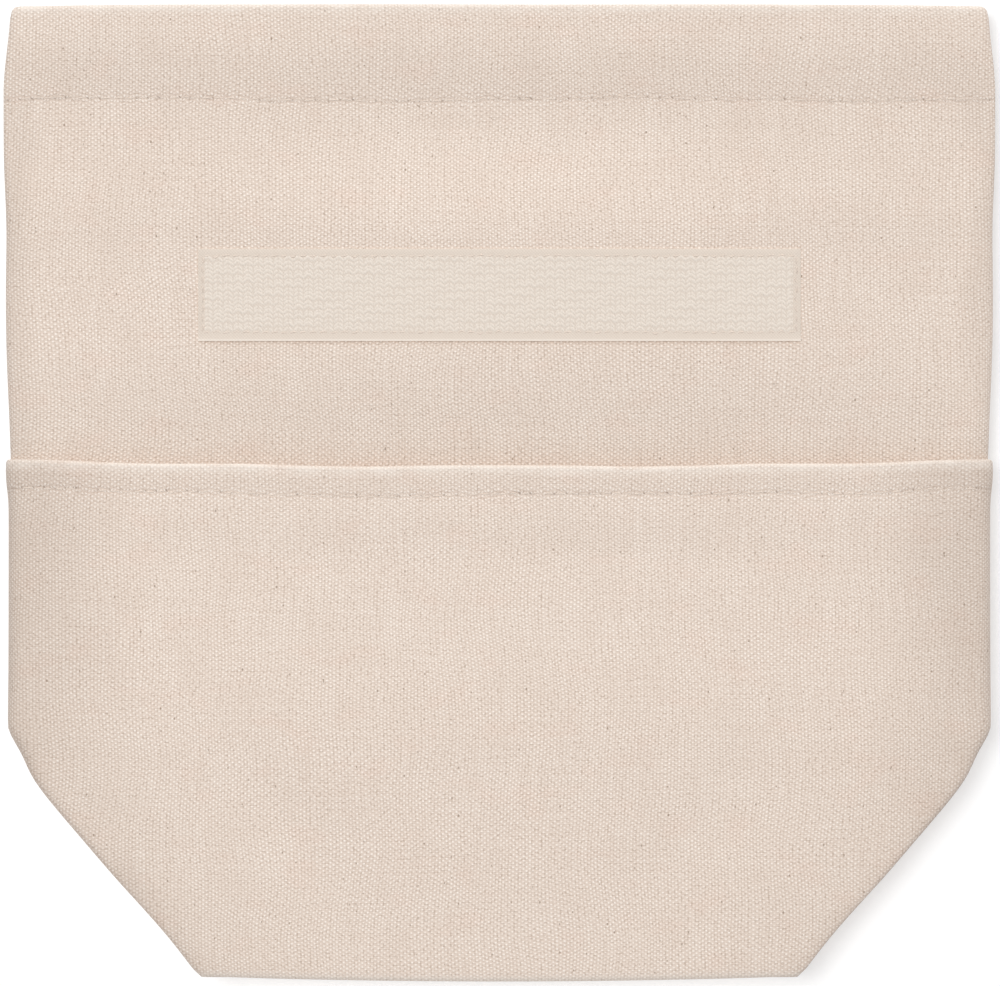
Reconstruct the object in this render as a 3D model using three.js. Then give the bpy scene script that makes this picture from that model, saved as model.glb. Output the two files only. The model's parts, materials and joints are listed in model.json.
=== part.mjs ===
// An insulated canvas bag, empty and lying flat on its back.
// Each wall is canvas, foam and lining. The base is folded up between the walls, a pocket covers
// the lower front, and the top folds forward twice, so that its hook tape lands on the loop tape.
// Millimetres: X runs across the bag, Y from the bottom fold to the mouth, Z up from the table.
import * as THREE from "three";

// Outline of the bag as it lies flat
const bodyHalfWidth = 132.5; // centre line to side seam, below the pocket's mouth
const bagLength = 263.4; // bottom fold of the wall to mouth
const baseDepth = 104; // front to back of the opened base
const topWidening = 2.2; // how much further out each side stands at the hem
const wideningFrom = 120; // height at which the sides begin to widen
const wideningTo = 225;
const mouthNarrowing = 1.3; // how much each side comes in again at the mouth
const narrowingLength = 20;
const cornerSoftness = 14.5; // how far the slanted corner runs on past the base fold
const cornerBulge = 0.77; // how full the slanted corner is, 0 for a straight one

// Plies of a wall, from the outside in
const canvasThick = 0.8;
const foamThick = 2;
const liningThick = 0.3;
const plyGap = 0.2; // air between two plies
const cavity = 4.4; // air between the two linings
const restGap = 0.4; // air between folded base and walls
const seamGap = 0.2; // between the two canvas edges of a seam
const roundWidth = 7; // width of the rounded edge along the sides

// Foam and lining are cut smaller than the canvas
const foamInset = 1; // foam edge to the start of the rounded edge
const baseFoamInset = 4; // base foam to the end of the base panel
const baseLiningInset = 3;

// Base fold
const lipStart = 15; // up to here front and back lip stand fully apart
const wallSettle = 32; // length over which the wall comes down past the base fold

// Mouth hem and the two folds of the top
const hemDepth = 27.2;
const foldPitch = 31; // mouth to first fold, and first to second
const foldGap = 0.3; // between two bands at a fold line
const foldedGap = 0.3; // air between surfaces that a fold lays together

// Hook-and-loop tape
const tapeWidth = 25;
const tapeLength = 163;
const tapeBacking = 0.5;
const pileHeight = 0.6;
const selvedge = 2.1; // plain woven border beside the pile
const loopFromMouth = 66.9; // mouth to the upper edge of the loop tape
const sewnGap = 0.1; // tape backing to canvas

// Pocket
const pocketHeight = 139.7; // bottom fold to the ends of its mouth
const pocketHem = 9;
const mouthDip = 1.7; // how far the mouth's middle lies lower than its ends
const pocketSideGap = 0.2; // pocket to wall along the sides
const mouthFlare = 1.1; // how much wider the pocket stands at its mouth
const flareLength = 14; // length over which it widens
const pocketStandOff = 4.3; // clear space under the pocket's hem

// How finely curves are divided
const roundSteps = 4;
const flatColumns = 4;
const rowPitch = 7.5; // where the wall bends
const flatRowPitch = 20;
const foldSteps = 4;

const wallThick = canvasThick + plyGap + foamThick + plyGap + liningThick;
const hemThick = 2 * canvasThick + 2 * plyGap + liningThick;
const bodyThick = 2 * wallThick + cavity;
const baseThick = 4 * wallThick + 3 * restGap;
const baseHalfWidth = bodyHalfWidth - baseDepth / 2;
const cornerTop = baseDepth / 2 + cornerSoftness;
const ridgeY = baseDepth / 2;
const grooveHalf = restGap / 2; // half the air between the two legs of the base fold
const lipLift = baseThick / 4 + grooveHalf / 2; // middle of a lip above the bag's middle
const foamFrom = canvasThick + plyGap;
const foamTo = foamFrom + foamThick;
const liningFrom = foamTo + plyGap;
const hemRecess = wallThick - hemThick; // the hem has no foam
const firstFoldY = bagLength - foldPitch;
const secondFoldY = bagLength - 2 * foldPitch;
const loopY = bagLength - loopFromMouth - tapeWidth / 2;
const hookY = loopY + 2 * foldPitch;
const tapeThick = tapeBacking + pileHeight;
const hemTop = bodyThick - hemRecess;
const firstFoldZ = (bodyThick + hemTop + foldedGap) / 2;
const hookFace = hemRecess - sewnGap - tapeThick;
const loopFace = bodyThick + sewnGap + tapeThick;
const secondFoldZ = (2 * firstFoldZ - hookFace + loopFace + foldedGap) / 2;
const pocketProud = pocketSideGap + canvasThick;
const pocketHemDrop = canvasThick + plyGap; // turned ply lies this far under the outer one

const FRONT = 1;
const BACK = -1;

function ease(value, from, to) {
  return THREE.MathUtils.smoothstep(value, from, to);
}

// Half the bag's width at a height y above the bottom fold.
function halfWidth(y) {
  const t = THREE.MathUtils.clamp(y / cornerTop, 0, 1);
  const fullness = t + cornerBulge * t ** 3 * (1 - t);
  const corner = baseHalfWidth + (bodyHalfWidth - baseHalfWidth) * fullness;
  const widened = topWidening * ease(y, wideningFrom, wideningTo);
  return corner + widened - mouthNarrowing * ease(y, bagLength - narrowingLength, bagLength);
}

// Height of the front wall's upper face.
function frontTop(y) {
  const ridgeTop = ridgeY + grooveHalf + wallThick;
  return THREE.MathUtils.lerp(baseThick, bodyThick, ease(y, ridgeTop, ridgeTop + wallSettle));
}

// How far the middle of a lip stands from the bag's middle. The lips close at the base fold.
function lift(y) {
  return lipLift * (1 - ease(y, lipStart, ridgeY));
}

// Height of the seam that ends the front or back canvas.
function seamHeight(side, y) {
  return frontTop(y) / 2 + side * (lift(y) + seamGap / 2);
}

// The lining's own edge. Beside the base fold it ends above the canvas that lies between.
function liningEdge(side, y) {
  const foldClear = (foamFrom + grooveHalf) * (1 - ease(y, ridgeY + wallThick, cornerTop));
  return frontTop(y) / 2 + side * Math.max(lift(y) + seamGap / 2, foldClear);
}

// Columns across the bag: a rounded edge, the flat, and a rounded edge. sin is 0 on the seam.
function acrossColumns() {
  const round = Array.from({ length: roundSteps }, (_, k) => (k / roundSteps) * (Math.PI / 2));
  const edge = (side) => round.map((a) => ({ share: side, side, cos: Math.cos(a), sin: Math.sin(a) }));
  return [...edge(-1), ...flatColumnList(), ...edge(1).reverse()];
}

// Columns across the flat between the rounded edges, its two ends included.
function flatColumnList(count = flatColumns) {
  return Array.from({ length: count + 1 }, (_, k) => {
    const share = (2 * k) / count - 1;
    return { share, side: Math.sign(share), cos: 0, sin: 1 };
  });
}

// Rows up the bag. Each gives its y and its depth below the outer face for a face at depth off.
function plainRows(from, to, pitch = rowPitch) {
  const count = Math.max(1, Math.round((to - from) / pitch));
  return Array.from({ length: count + 1 }, (_, k) => {
    const y = THREE.MathUtils.lerp(from, to, k / count);
    return (off) => ({ y, depth: off, rise: 1 });
  });
}

// Rows round the lip at the bottom fold, from its seam up to the flat.
function lipRows() {
  return Array.from({ length: roundSteps }, (_, k) => {
    const a = (k / roundSteps) * (Math.PI / 2);
    return (off) => ({
      y: roundWidth - (roundWidth - off) * Math.cos(a),
      depth: off,
      rise: Math.sin(a),
    });
  });
}

// Rows round the edge of a hem. turn is how deep the hem is through both its plies.
function hemRows(top, turn) {
  const radius = turn / 2;
  return Array.from({ length: 2 * foldSteps + 1 }, (_, k) => {
    const a = (k / (2 * foldSteps)) * Math.PI;
    return (off) => ({
      y: top - radius + (radius - off) * Math.sin(a),
      depth: radius - (radius - off) * Math.cos(a),
      rise: 1,
    });
  });
}

// Rows up a wall from the bottom lip's end. They lie close together only where the wall bends.
function wallRows(top) {
  const settled = ridgeY + grooveHalf + wallThick + wallSettle;
  const corner = plainRows(roundWidth, cornerTop);
  const bend = plainRows(cornerTop, settled).slice(1);
  return [...corner, ...bend, ...plainRows(settled, top, flatRowPitch).slice(1)];
}

// Rows down the turned ply of a hem.
function turnedRows(from, to, turn) {
  return plainRows(from, to).map((row) => (off) => ({ ...row(off), depth: turn - off }));
}

// A grid of points over a wall, at the depth that the rows give for off.
function wallGrid(side, rows, columns, off, { recess = 0, inset = 0, edge = seamHeight } = {}) {
  return rows.map((row) => {
    const { y, depth, rise } = row(off);
    const seam = edge(side, y);
    const face = side === FRONT ? frontTop(y) - recess - depth : recess + depth;
    return columns.map((c) => {
      const x = c.share * (halfWidth(y) - roundWidth - inset) + c.side * (roundWidth - depth) * c.cos;
      return new THREE.Vector3(x, y, THREE.MathUtils.lerp(seam, face, c.sin * rise));
    });
  });
}

// One closed solid between two grids of the same size.
function sheetBetween(outer, inner) {
  const rows = outer.length;
  const cols = outer[0].length;
  const points = [...outer.flat(), ...inner.flat()];
  const at = (layer, r, c) => layer * rows * cols + r * cols + c;
  const index = [];
  const quad = (a, b, c, d) => index.push(a, b, c, a, c, d);
  for (let r = 0; r < rows - 1; r++) {
    for (let c = 0; c < cols - 1; c++) {
      quad(at(0, r, c), at(0, r, c + 1), at(0, r + 1, c + 1), at(0, r + 1, c));
      quad(at(1, r, c), at(1, r + 1, c), at(1, r + 1, c + 1), at(1, r, c + 1));
    }
    quad(at(0, r, 0), at(0, r + 1, 0), at(1, r + 1, 0), at(1, r, 0));
    quad(at(0, r, cols - 1), at(1, r, cols - 1), at(1, r + 1, cols - 1), at(0, r + 1, cols - 1));
  }
  for (let c = 0; c < cols - 1; c++) {
    quad(at(0, 0, c), at(1, 0, c), at(1, 0, c + 1), at(0, 0, c + 1));
    quad(at(0, rows - 1, c), at(0, rows - 1, c + 1), at(1, rows - 1, c + 1), at(1, rows - 1, c));
  }
  if (signedVolume(points, index) < 0) index.reverse();
  const geometry = new THREE.BufferGeometry().setFromPoints(points);
  geometry.setIndex(index);
  geometry.computeVertexNormals();
  return geometry;
}

function signedVolume(points, index) {
  const cross = new THREE.Vector3();
  let sum = 0;
  for (let i = 0; i < index.length; i += 3) {
    sum += cross.crossVectors(points[index[i + 1]], points[index[i + 2]]).dot(points[index[i]]);
  }
  return sum / 6;
}

// Canvas, with its rounded edges, of one wall between two heights or from the bottom lip.
function canvasWall(side, rows) {
  const columns = acrossColumns();
  return sheetBetween(
    wallGrid(side, rows, columns, 0),
    wallGrid(side, rows, columns, canvasThick),
  );
}

function liningWall(side, rows) {
  const columns = acrossColumns();
  return sheetBetween(
    wallGrid(side, rows, columns, liningFrom, { edge: liningEdge }),
    wallGrid(side, rows, columns, wallThick, { edge: liningEdge }),
  );
}

function foamWall(side, rows) {
  const columns = flatColumnList(1);
  const cut = { inset: foamInset };
  return sheetBetween(
    wallGrid(side, rows, columns, foamFrom, cut),
    wallGrid(side, rows, columns, foamTo, cut),
  );
}

// Rows of the folded base: up the front leg, round the fold, and down the back leg.
// arm is 1 on the front leg and -1 on the back leg.
function baseRows(fromLip) {
  const lip = fromLip ? lipRows() : [];
  const leg = [...lip, ...plainRows(roundWidth, ridgeY)];
  const down = (row) => (off) => ({ ...row(off), arm: -1 });
  const up = (row) => (off) => ({ ...row(off), arm: 1 });
  const turn = Array.from({ length: foldSteps - 1 }, (_, k) => {
    const a = Math.PI * (0.5 - (k + 1) / foldSteps);
    return (off) => ({
      y: ridgeY + (grooveHalf + off) * Math.cos(a),
      depth: off,
      rise: 1,
      arm: Math.sin(a),
    });
  });
  return [...leg.map(up), ...turn, ...leg.map(down).reverse()];
}

// A grid over the folded base. half gives its half width at y, and round is its edge radius.
function baseGrid(rows, columns, off, half, round) {
  return rows.map((row) => {
    const { y, depth, rise, arm } = row(off);
    const lipEdge = Math.max(lift(y) - seamGap / 2, seamGap / 4);
    return columns.map((c) => {
      const x = c.share * (half(y) - round) + c.side * (round - depth) * c.cos;
      const height = THREE.MathUtils.lerp(lipEdge, grooveHalf + depth, c.sin * rise);
      return new THREE.Vector3(x, y, frontTop(y) / 2 + arm * height);
    });
  });
}

function baseCanvas() {
  const rows = baseRows(true);
  const columns = acrossColumns();
  return sheetBetween(
    baseGrid(rows, columns, 0, halfWidth, roundWidth),
    baseGrid(rows, columns, canvasThick, halfWidth, roundWidth),
  );
}

function basePly(from, to, half) {
  const rows = baseRows(false);
  const columns = flatColumnList(1);
  return sheetBetween(
    baseGrid(rows, columns, from, half, 0),
    baseGrid(rows, columns, to, half, 0),
  );
}

// Canvas of the hem band: up the outside, over the mouth, and down the inside as a facing.
function hemCanvas(side) {
  const outer = plainRows(firstFoldY + foldGap / 2, bagLength - hemThick);
  const facing = turnedRows(bagLength - hemThick, bagLength - hemDepth, hemThick);
  const rows = [...outer, ...hemRows(bagLength, hemThick), ...facing];
  const columns = acrossColumns();
  return sheetBetween(
    wallGrid(side, rows, columns, 0, { recess: hemRecess }),
    wallGrid(side, rows, columns, canvasThick, { recess: hemRecess }),
  );
}

// The lining's upper end, caught between the hem's outer canvas and its facing.
function hemLining(side) {
  const from = canvasThick + plyGap;
  const rows = plainRows(firstFoldY + foldGap / 2, bagLength - hemThick, flatRowPitch);
  const columns = flatColumnList(1);
  const cut = { recess: hemRecess, inset: foamInset };
  return sheetBetween(
    wallGrid(side, rows, columns, from, cut),
    wallGrid(side, rows, columns, from + liningThick, cut),
  );
}

// Height of the pocket's outer face: close on the wall below, standing off it at the mouth.
function pocketTop(y) {
  const low = baseThick + restGap + canvasThick;
  const high = bodyThick + pocketStandOff + pocketHemDrop + canvasThick;
  return THREE.MathUtils.lerp(low, high, ease(y, ridgeY, pocketHeight - pocketHem));
}

function pocketGrid(rows, columns, off) {
  const hemEnd = pocketHeight - pocketHem;
  return rows.map((row) => {
    const { y, depth, rise } = row(off);
    const seam = seamHeight(FRONT, y) + pocketSideGap;
    const flare = mouthFlare * ease(y, hemEnd - flareLength, hemEnd);
      const radius = roundWidth + pocketProud + flare - depth;
    return columns.map((c) => {
      const x = c.share * (halfWidth(y) - roundWidth) + c.side * radius * c.cos;
      const dip = mouthDip * (1 - c.share ** 2) * ease(y, cornerTop, pocketHeight);
      return new THREE.Vector3(x, y - dip, THREE.MathUtils.lerp(seam, pocketTop(y) - depth, c.sin * rise));
    });
  });
}

function pocketPanel() {
  const turn = pocketHemDrop + canvasThick;
  const outer = wallRows(pocketHeight - turn);
  const facing = turnedRows(pocketHeight - turn, pocketHeight - pocketHem, turn);
  const rows = [...pocketLipRows(), ...outer, ...hemRows(pocketHeight, turn), ...facing];
  const columns = acrossColumns();
  return sheetBetween(pocketGrid(rows, columns, 0), pocketGrid(rows, columns, canvasThick));
}

// The pocket's bottom rows run round the outside of the wall's.
function pocketLipRows() {
  return lipRows().map((row) => (off) => ({ ...row(off - pocketProud), depth: off }));
}

// A strip of hook-and-loop tape, its pile side up, between two plain borders.
function tapeStrip() {
  const half = tapeWidth / 2;
  const pile = half - selvedge;
  const section = new THREE.Shape([
    new THREE.Vector2(-half, 0),
    new THREE.Vector2(half, 0),
    new THREE.Vector2(half, tapeBacking),
    new THREE.Vector2(pile, tapeBacking),
    new THREE.Vector2(pile - pileHeight / 2, tapeThick),
    new THREE.Vector2(pileHeight / 2 - pile, tapeThick),
    new THREE.Vector2(-pile, tapeBacking),
    new THREE.Vector2(-half, tapeBacking),
  ]);
  const strip = new THREE.ExtrudeGeometry(section, { depth: tapeLength, bevelEnabled: false });
  strip.translate(0, 0, -tapeLength / 2);
  strip.rotateX(Math.PI / 2);
  strip.rotateZ(Math.PI / 2);
  return strip;
}

const materials = {
  canvas: new THREE.MeshStandardMaterial({ color: 0xe2d3c5, roughness: 0.95, metalness: 0 }),
  foam: new THREE.MeshStandardMaterial({ color: 0xf1f1ec, roughness: 0.8, metalness: 0 }),
  lining: new THREE.MeshStandardMaterial({ color: 0xe6e6e2, roughness: 0.4, metalness: 0 }),
  tape: new THREE.MeshStandardMaterial({ color: 0xe6dccf, roughness: 0.9, metalness: 0 }),
};

// The lower bag lies in its own group. Each folding band turns about the pivot of its group.
const bag = new THREE.Group();
bag.position.y = (pocketProud - bagLength) / 2;

function pivotGroup(parent, pivot) {
  const group = new THREE.Group();
  group.userData.pivot = pivot;
  group.position.copy(pivot).sub(parent.userData.pivot);
  parent.add(group);
  return group;
}

function addPiece(group, name, geometry, material) {
  const mesh = new THREE.Mesh(geometry, material);
  mesh.name = name;
  mesh.position.copy(group.userData.pivot).negate();
  group.add(mesh);
  return mesh;
}

bag.userData.pivot = new THREE.Vector3();
const rollBand = pivotGroup(bag, new THREE.Vector3(0, secondFoldY, secondFoldZ));
const hemBand = pivotGroup(rollBand, new THREE.Vector3(0, firstFoldY, firstFoldZ));
const pocket = pivotGroup(bag, new THREE.Vector3(0, 0, seamHeight(FRONT, 0) + pocketSideGap));

function addLowerWalls() {
  const top = secondFoldY - foldGap / 2;
  const flatRows = wallRows(top);
  const names = { [FRONT]: "front", [BACK]: "back" };
  for (const side of [FRONT, BACK]) {
    addPiece(bag, names[side] + "_canvas", canvasWall(side, [...lipRows(), ...flatRows]), materials.canvas);
    addPiece(bag, names[side] + "_foam", foamWall(side, flatRows), materials.foam);
    addPiece(bag, names[side] + "_lining", liningWall(side, flatRows), materials.lining);
  }
}

function addFoldedBase() {
  const panelHalf = () => baseHalfWidth - baseFoamInset;
  const liningHalf = (y) => halfWidth(y) - roundWidth - baseLiningInset;
  addPiece(bag, "base_canvas", baseCanvas(), materials.canvas);
  addPiece(bag, "base_foam", basePly(foamFrom, foamTo, panelHalf), materials.foam);
  addPiece(bag, "base_lining", basePly(liningFrom, wallThick, liningHalf), materials.lining);
}

function addRollBand() {
  const rows = plainRows(secondFoldY + foldGap / 2, firstFoldY - foldGap / 2, flatRowPitch);
  for (const [side, name] of [[FRONT, "roll_front"], [BACK, "roll_back"]]) {
    addPiece(rollBand, name + "_canvas", canvasWall(side, rows), materials.canvas);
    addPiece(rollBand, name + "_foam", foamWall(side, rows), materials.foam);
    addPiece(rollBand, name + "_lining", liningWall(side, rows), materials.lining);
  }
}

function addHemBand() {
  for (const [side, name] of [[FRONT, "hem_front"], [BACK, "hem_back"]]) {
    addPiece(hemBand, name + "_canvas", hemCanvas(side), materials.canvas);
    addPiece(hemBand, name + "_lining", hemLining(side), materials.lining);
  }
}

function addTapes() {
  const loop = addPiece(bag, "loop_tape", tapeStrip(), materials.tape);
  loop.position.add(new THREE.Vector3(0, loopY, bodyThick + sewnGap));
  const hook = addPiece(hemBand, "hook_tape", tapeStrip(), materials.tape);
  hook.position.add(new THREE.Vector3(0, hookY, hemRecess - sewnGap));
  hook.rotation.y = Math.PI;
}

addLowerWalls();
addFoldedBase();
addRollBand();
addHemBand();
addTapes();
addPiece(pocket, "pocket_panel", pocketPanel(), materials.canvas);

export default bag;
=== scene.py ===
import json
import math

import bpy
import numpy as np
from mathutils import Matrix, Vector


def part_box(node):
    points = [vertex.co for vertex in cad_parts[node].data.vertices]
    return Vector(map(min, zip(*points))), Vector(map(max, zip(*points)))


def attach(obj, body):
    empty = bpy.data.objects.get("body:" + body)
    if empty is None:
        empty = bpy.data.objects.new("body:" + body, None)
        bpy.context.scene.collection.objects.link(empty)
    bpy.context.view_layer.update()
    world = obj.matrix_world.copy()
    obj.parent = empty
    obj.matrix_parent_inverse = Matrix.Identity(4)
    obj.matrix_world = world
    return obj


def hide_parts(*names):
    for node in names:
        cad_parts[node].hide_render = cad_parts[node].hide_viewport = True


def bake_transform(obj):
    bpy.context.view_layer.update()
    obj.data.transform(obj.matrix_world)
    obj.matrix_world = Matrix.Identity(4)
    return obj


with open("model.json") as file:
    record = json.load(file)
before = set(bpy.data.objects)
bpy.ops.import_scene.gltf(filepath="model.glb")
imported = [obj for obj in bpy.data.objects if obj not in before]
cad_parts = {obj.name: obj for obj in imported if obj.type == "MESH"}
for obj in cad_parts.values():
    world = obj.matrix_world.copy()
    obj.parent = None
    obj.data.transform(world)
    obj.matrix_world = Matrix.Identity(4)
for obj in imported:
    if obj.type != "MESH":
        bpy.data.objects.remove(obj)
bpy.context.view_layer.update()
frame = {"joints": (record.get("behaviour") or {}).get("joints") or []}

mm = 0.001
front, back = 1, -1

# The bag lies on its back. Sizes are millimetres, and up is the way from the bottom fold to the mouth.
# Where a name that ends in From or Reach holds two values, something comes or goes between those places. A
# wave or a dip is (size, middle, width).
bag = {
    "halfWidth": 132.5,
    "topWider": 2.2,  # how much further out each side stands at the hem
    "topWiderFrom": (120, 225),
    "abovePocket": 0.2,  # and just above the pocket's mouth
    "abovePocketFrom": (130, 146),
    "sideWave": 0.6,
    "sideWaveOut": (0.5, 96, 16),  # below the mouth
    "sideWaveIn": (1, 60, 14),
    "cornerWaves": ((0.25, -1, 6), (0.55, 26, 10)),
    "cornerNick": (1.0, 60, 5),  # how far the end of the base fold draws the side in
    "foldCorner": 0.55,  # how far the ends of the bottom fold are rounded off
    "foldCornerFrom": (-0.8, 2.2),
    "roundedCorner": 1.9,
    "roundedReach": (0, 24),
    "roundedTip": (0.8, 0.9),  # share and reach of the tight end of that round
    "mouthBow": 0.7,  # how far the mouth's ends lie below its middle
    "mouthLow": 0.15,
    "bottomBow": 1.1,
    "bottomLevel": 0.52,  # share of that bow by which the middle lies lower
    "bowReach": 45,
    "baseDepth": 104,  # front to back once the base is opened
    "cornerSoftness": 14.5,
    "cornerBulge": 0.61,
    "canvas": 0.8,
    "lining": 0.3,
    "plyGap": 0.15,
    "wall": 3.5,  # canvas, foam and lining with their air
    "edge": 7,  # width of the rounded edge
    "edgeFullness": 0.7,  # 1 for a round edge, less for a fuller one
    "foldFullness": 0.34,  # the same for the folded edges of the base
    "tuck": 0.9,  # how far the seams of those edges lie in from the outline
    "sideFrom": (48, 78),  # where the slanted edges turn into the sides
    "overBaseReach": (60, 100),  # where the wall still feels the folded base
    "lipStart": 15,
    "restGap": 0.4,
    "seamGap": 0.05,
    "settle": 32,
    "padEnds": (-6, 4),  # where the padding ends, from the first fold
    "hem": 27.2,
    "hemStitch": 26.0,  # mouth to the line of stitching
    "hemPlies": 2.3,
    "hemRecess": {front: 3.2, back: 1.2},  # how far the hem lies below the padded wall
    "recessFrom": (-33, -1),  # where the front falls to it, from the first fold
    "recessMiddle": (0.85, 0.4, 80),  # its share everywhere, and how much more in the middle
    "seamRoll": 1.0,  # how softly the cloth turns into a seam
    "seamSteps": 3,
    "seamAllowance": 1.6,
    "foamInset": 1,
    "foamEnd": 0.5,  # how far below the first fold the foam ends
    "liningLip": 0.1,
    "liningClear": 0.2,  # between the lining's edge and the base canvas
}


def inMm(point):
    return Vector(point) / mm


def boxInMm(node):
    return [inMm(corner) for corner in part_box(node)]


joints = {j["name"]: inMm(j["pos_m"]) for j in frame["joints"]}
bottom = boxInMm("front_canvas")[0].y
mouth = boxInMm("hem_front_canvas")[1].y - bottom
bodyThick = boxInMm("roll_front_canvas")[1].z
baseThick = boxInMm("front_canvas")[1].z
firstFold = joints["first_fold"].y - bottom
secondFold = joints["second_fold"].y - bottom
rollMiddle = (firstFold + secondFold) / 2
ridge = bag["baseDepth"] / 2
baseHalf = bag["halfWidth"] - ridge
cornerTop = ridge + bag["cornerSoftness"]
groove = bag["restGap"] / 2
lipLift = baseThick / 4 + groove / 2
stitchUp = mouth - bag["hemStitch"]


def ease(value, low, high):
    t = np.clip((value - low) / (high - low), 0, 1)
    return t * t * (3 - 2 * t)


def between(a, b, t):
    return a + (b - a) * t


def hump(value, middle, width):
    return np.exp(-(((value - middle) / width) ** 2))


def wave(value, size, middle, width):
    return size * hump(value, middle, width)


def asGrid(*parts):
    return np.stack(np.broadcast_arrays(*parts), -1)


def halfWidth(up):
    t = np.minimum(up / cornerTop, 1)
    slanted = baseHalf + ridge * (t + bag["cornerBulge"] * t**3 * (1 - t)) - wave(up, *bag["cornerNick"])
    fromMouth = np.maximum(mouth - up, 0)
    tip, tipReach = bag["roundedTip"]
    rounded = 1 - ease(fromMouth, *bag["roundedReach"]) + tip * np.exp(-fromMouth / tipReach)
    waves = bag["sideWave"] * (wave(fromMouth, *bag["sideWaveOut"]) - wave(fromMouth, *bag["sideWaveIn"]))
    waves = waves + bag["abovePocket"] * ease(up, *bag["abovePocketFrom"])
    for cornerWave in bag["cornerWaves"]:
        waves = waves + wave(up, *cornerWave)
    waves = waves - bag["foldCorner"] * (1 - ease(up, *bag["foldCornerFrom"]))
    return slanted + bag["topWider"] * ease(up, *bag["topWiderFrom"]) + waves - bag["roundedCorner"] * rounded


def frontTop(up):
    start = ridge + groove + bag["wall"]
    return between(baseThick, bodyThick, ease(up, start, start + bag["settle"]))


def lipGap(up):
    return lipLift * (1 - ease(up, bag["lipStart"], ridge))


# 0 on the padded wall, 1 on the hem
def towardsHem(up):
    low, high = bag["padEnds"]
    return ease(up, firstFold + low, firstFold + high)


# 0 over the folded base, 1 well above it
def clearOfBase(up):
    return ease(up, *bag["overBaseReach"])


# 0 on the slanted edges, 1 on the sides
def onSide(up):
    return ease(up, *bag["sideFrom"])


# The padding swells the cloth between its seams. A coarse copy of the cloth, held where it is sewn, settles
# under a little pressure. Its height over the flat, brought to about 1, is the swell.
settling = {
    "pitch": 4.5,
    "across": 57,  # points from side to side
    "unevenness": 0.3,
    "frames": 18,
    "quality": 5,
    "pressure": 1.2,
    "slack": 0.008,
}


def settleCloth(name, low, high, heldAt, seed):
    ups = np.linspace(low, high, round((high - low) / settling["pitch"]) + 1)
    shares = np.linspace(-1, 1, settling["across"])
    x = shares * (halfWidth(ups)[:, None] - bag["edge"])
    uneven = np.random.default_rng(seed).normal(0, settling["unevenness"], x.shape)
    points = asGrid(x, ups[:, None], uneven)
    at = np.arange(x.size).reshape(x.shape)
    faces = np.stack([at[:-1, :-1], at[:-1, 1:], at[1:, 1:], at[1:, :-1]], -1).reshape(-1, 4)
    mesh = bpy.data.meshes.new(name)
    mesh.from_pydata((points * mm).reshape(-1, 3).tolist(), [], faces.tolist())
    cloth = bpy.data.objects.new(name, mesh)
    bpy.context.collection.objects.link(cloth)
    held = np.zeros(x.shape, bool)
    held[:, [0, -1]] = held[[0, -1]] = True
    held |= np.abs(ups - heldAt)[:, None] < settling["pitch"] / 2
    cloth.vertex_groups.new(name="sewn").add(at[held].tolist(), 1.0, "REPLACE")
    settle = cloth.modifiers.new("settle", "CLOTH")
    settle.settings.vertex_group_mass = "sewn"
    settle.settings.quality = settling["quality"]
    settle.settings.use_pressure = True
    settle.settings.uniform_pressure_force = settling["pressure"]
    settle.settings.shrink_min = -settling["slack"]
    settle.settings.effector_weights.gravity = 0
    settle.point_cache.frame_end = settling["frames"]
    scene = bpy.context.scene
    for frameNumber in range(1, settling["frames"] + 1):
        scene.frame_set(frameNumber)
    settled = cloth.evaluated_get(bpy.context.evaluated_depsgraph_get()).data
    height = np.array([v.co.z for v in settled.vertices]).reshape(x.shape) / mm
    bpy.data.objects.remove(cloth)
    scene.frame_set(1)
    print(f"{name} settled, {height.min():.1f} to {height.max():.1f} mm")
    height = height - np.median(height)
    return shares, ups, height / max(np.percentile(np.abs(height), 95), 1e-6)


# Height of a settled cloth at x and up, smooth between its points
def swellAt(settled, x, up):
    shares, ups, height = settled
    share = np.clip(x / (halfWidth(up) - bag["edge"]), -1, 1)
    atCol = (share + 1) / 2 * (len(shares) - 1)
    atRow = (up - ups[0]) / (ups[-1] - ups[0]) * (len(ups) - 1)
    atCol, atRow = np.broadcast_arrays(atCol, atRow)
    total = 0
    for j in range(-1, 3):
        for k in range(-1, 3):
            nearCol, nearRow = np.floor(atCol) + k, np.floor(atRow) + j
            weight = soft(np.abs(atCol - nearCol)) * soft(np.abs(atRow - nearRow))
            rows = np.clip(nearRow, 0, len(ups) - 1).astype(int)
            cols = np.clip(nearCol, 0, len(shares) - 1).astype(int)
            total = total + weight * height[rows, cols]
    return total


# A cubic B-spline's weight, which smooths a little as well
def soft(away):
    return np.where(away < 1, 2 / 3 - away**2 + away**3 / 2, np.maximum(2 - away, 0) ** 3 / 6)


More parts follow.
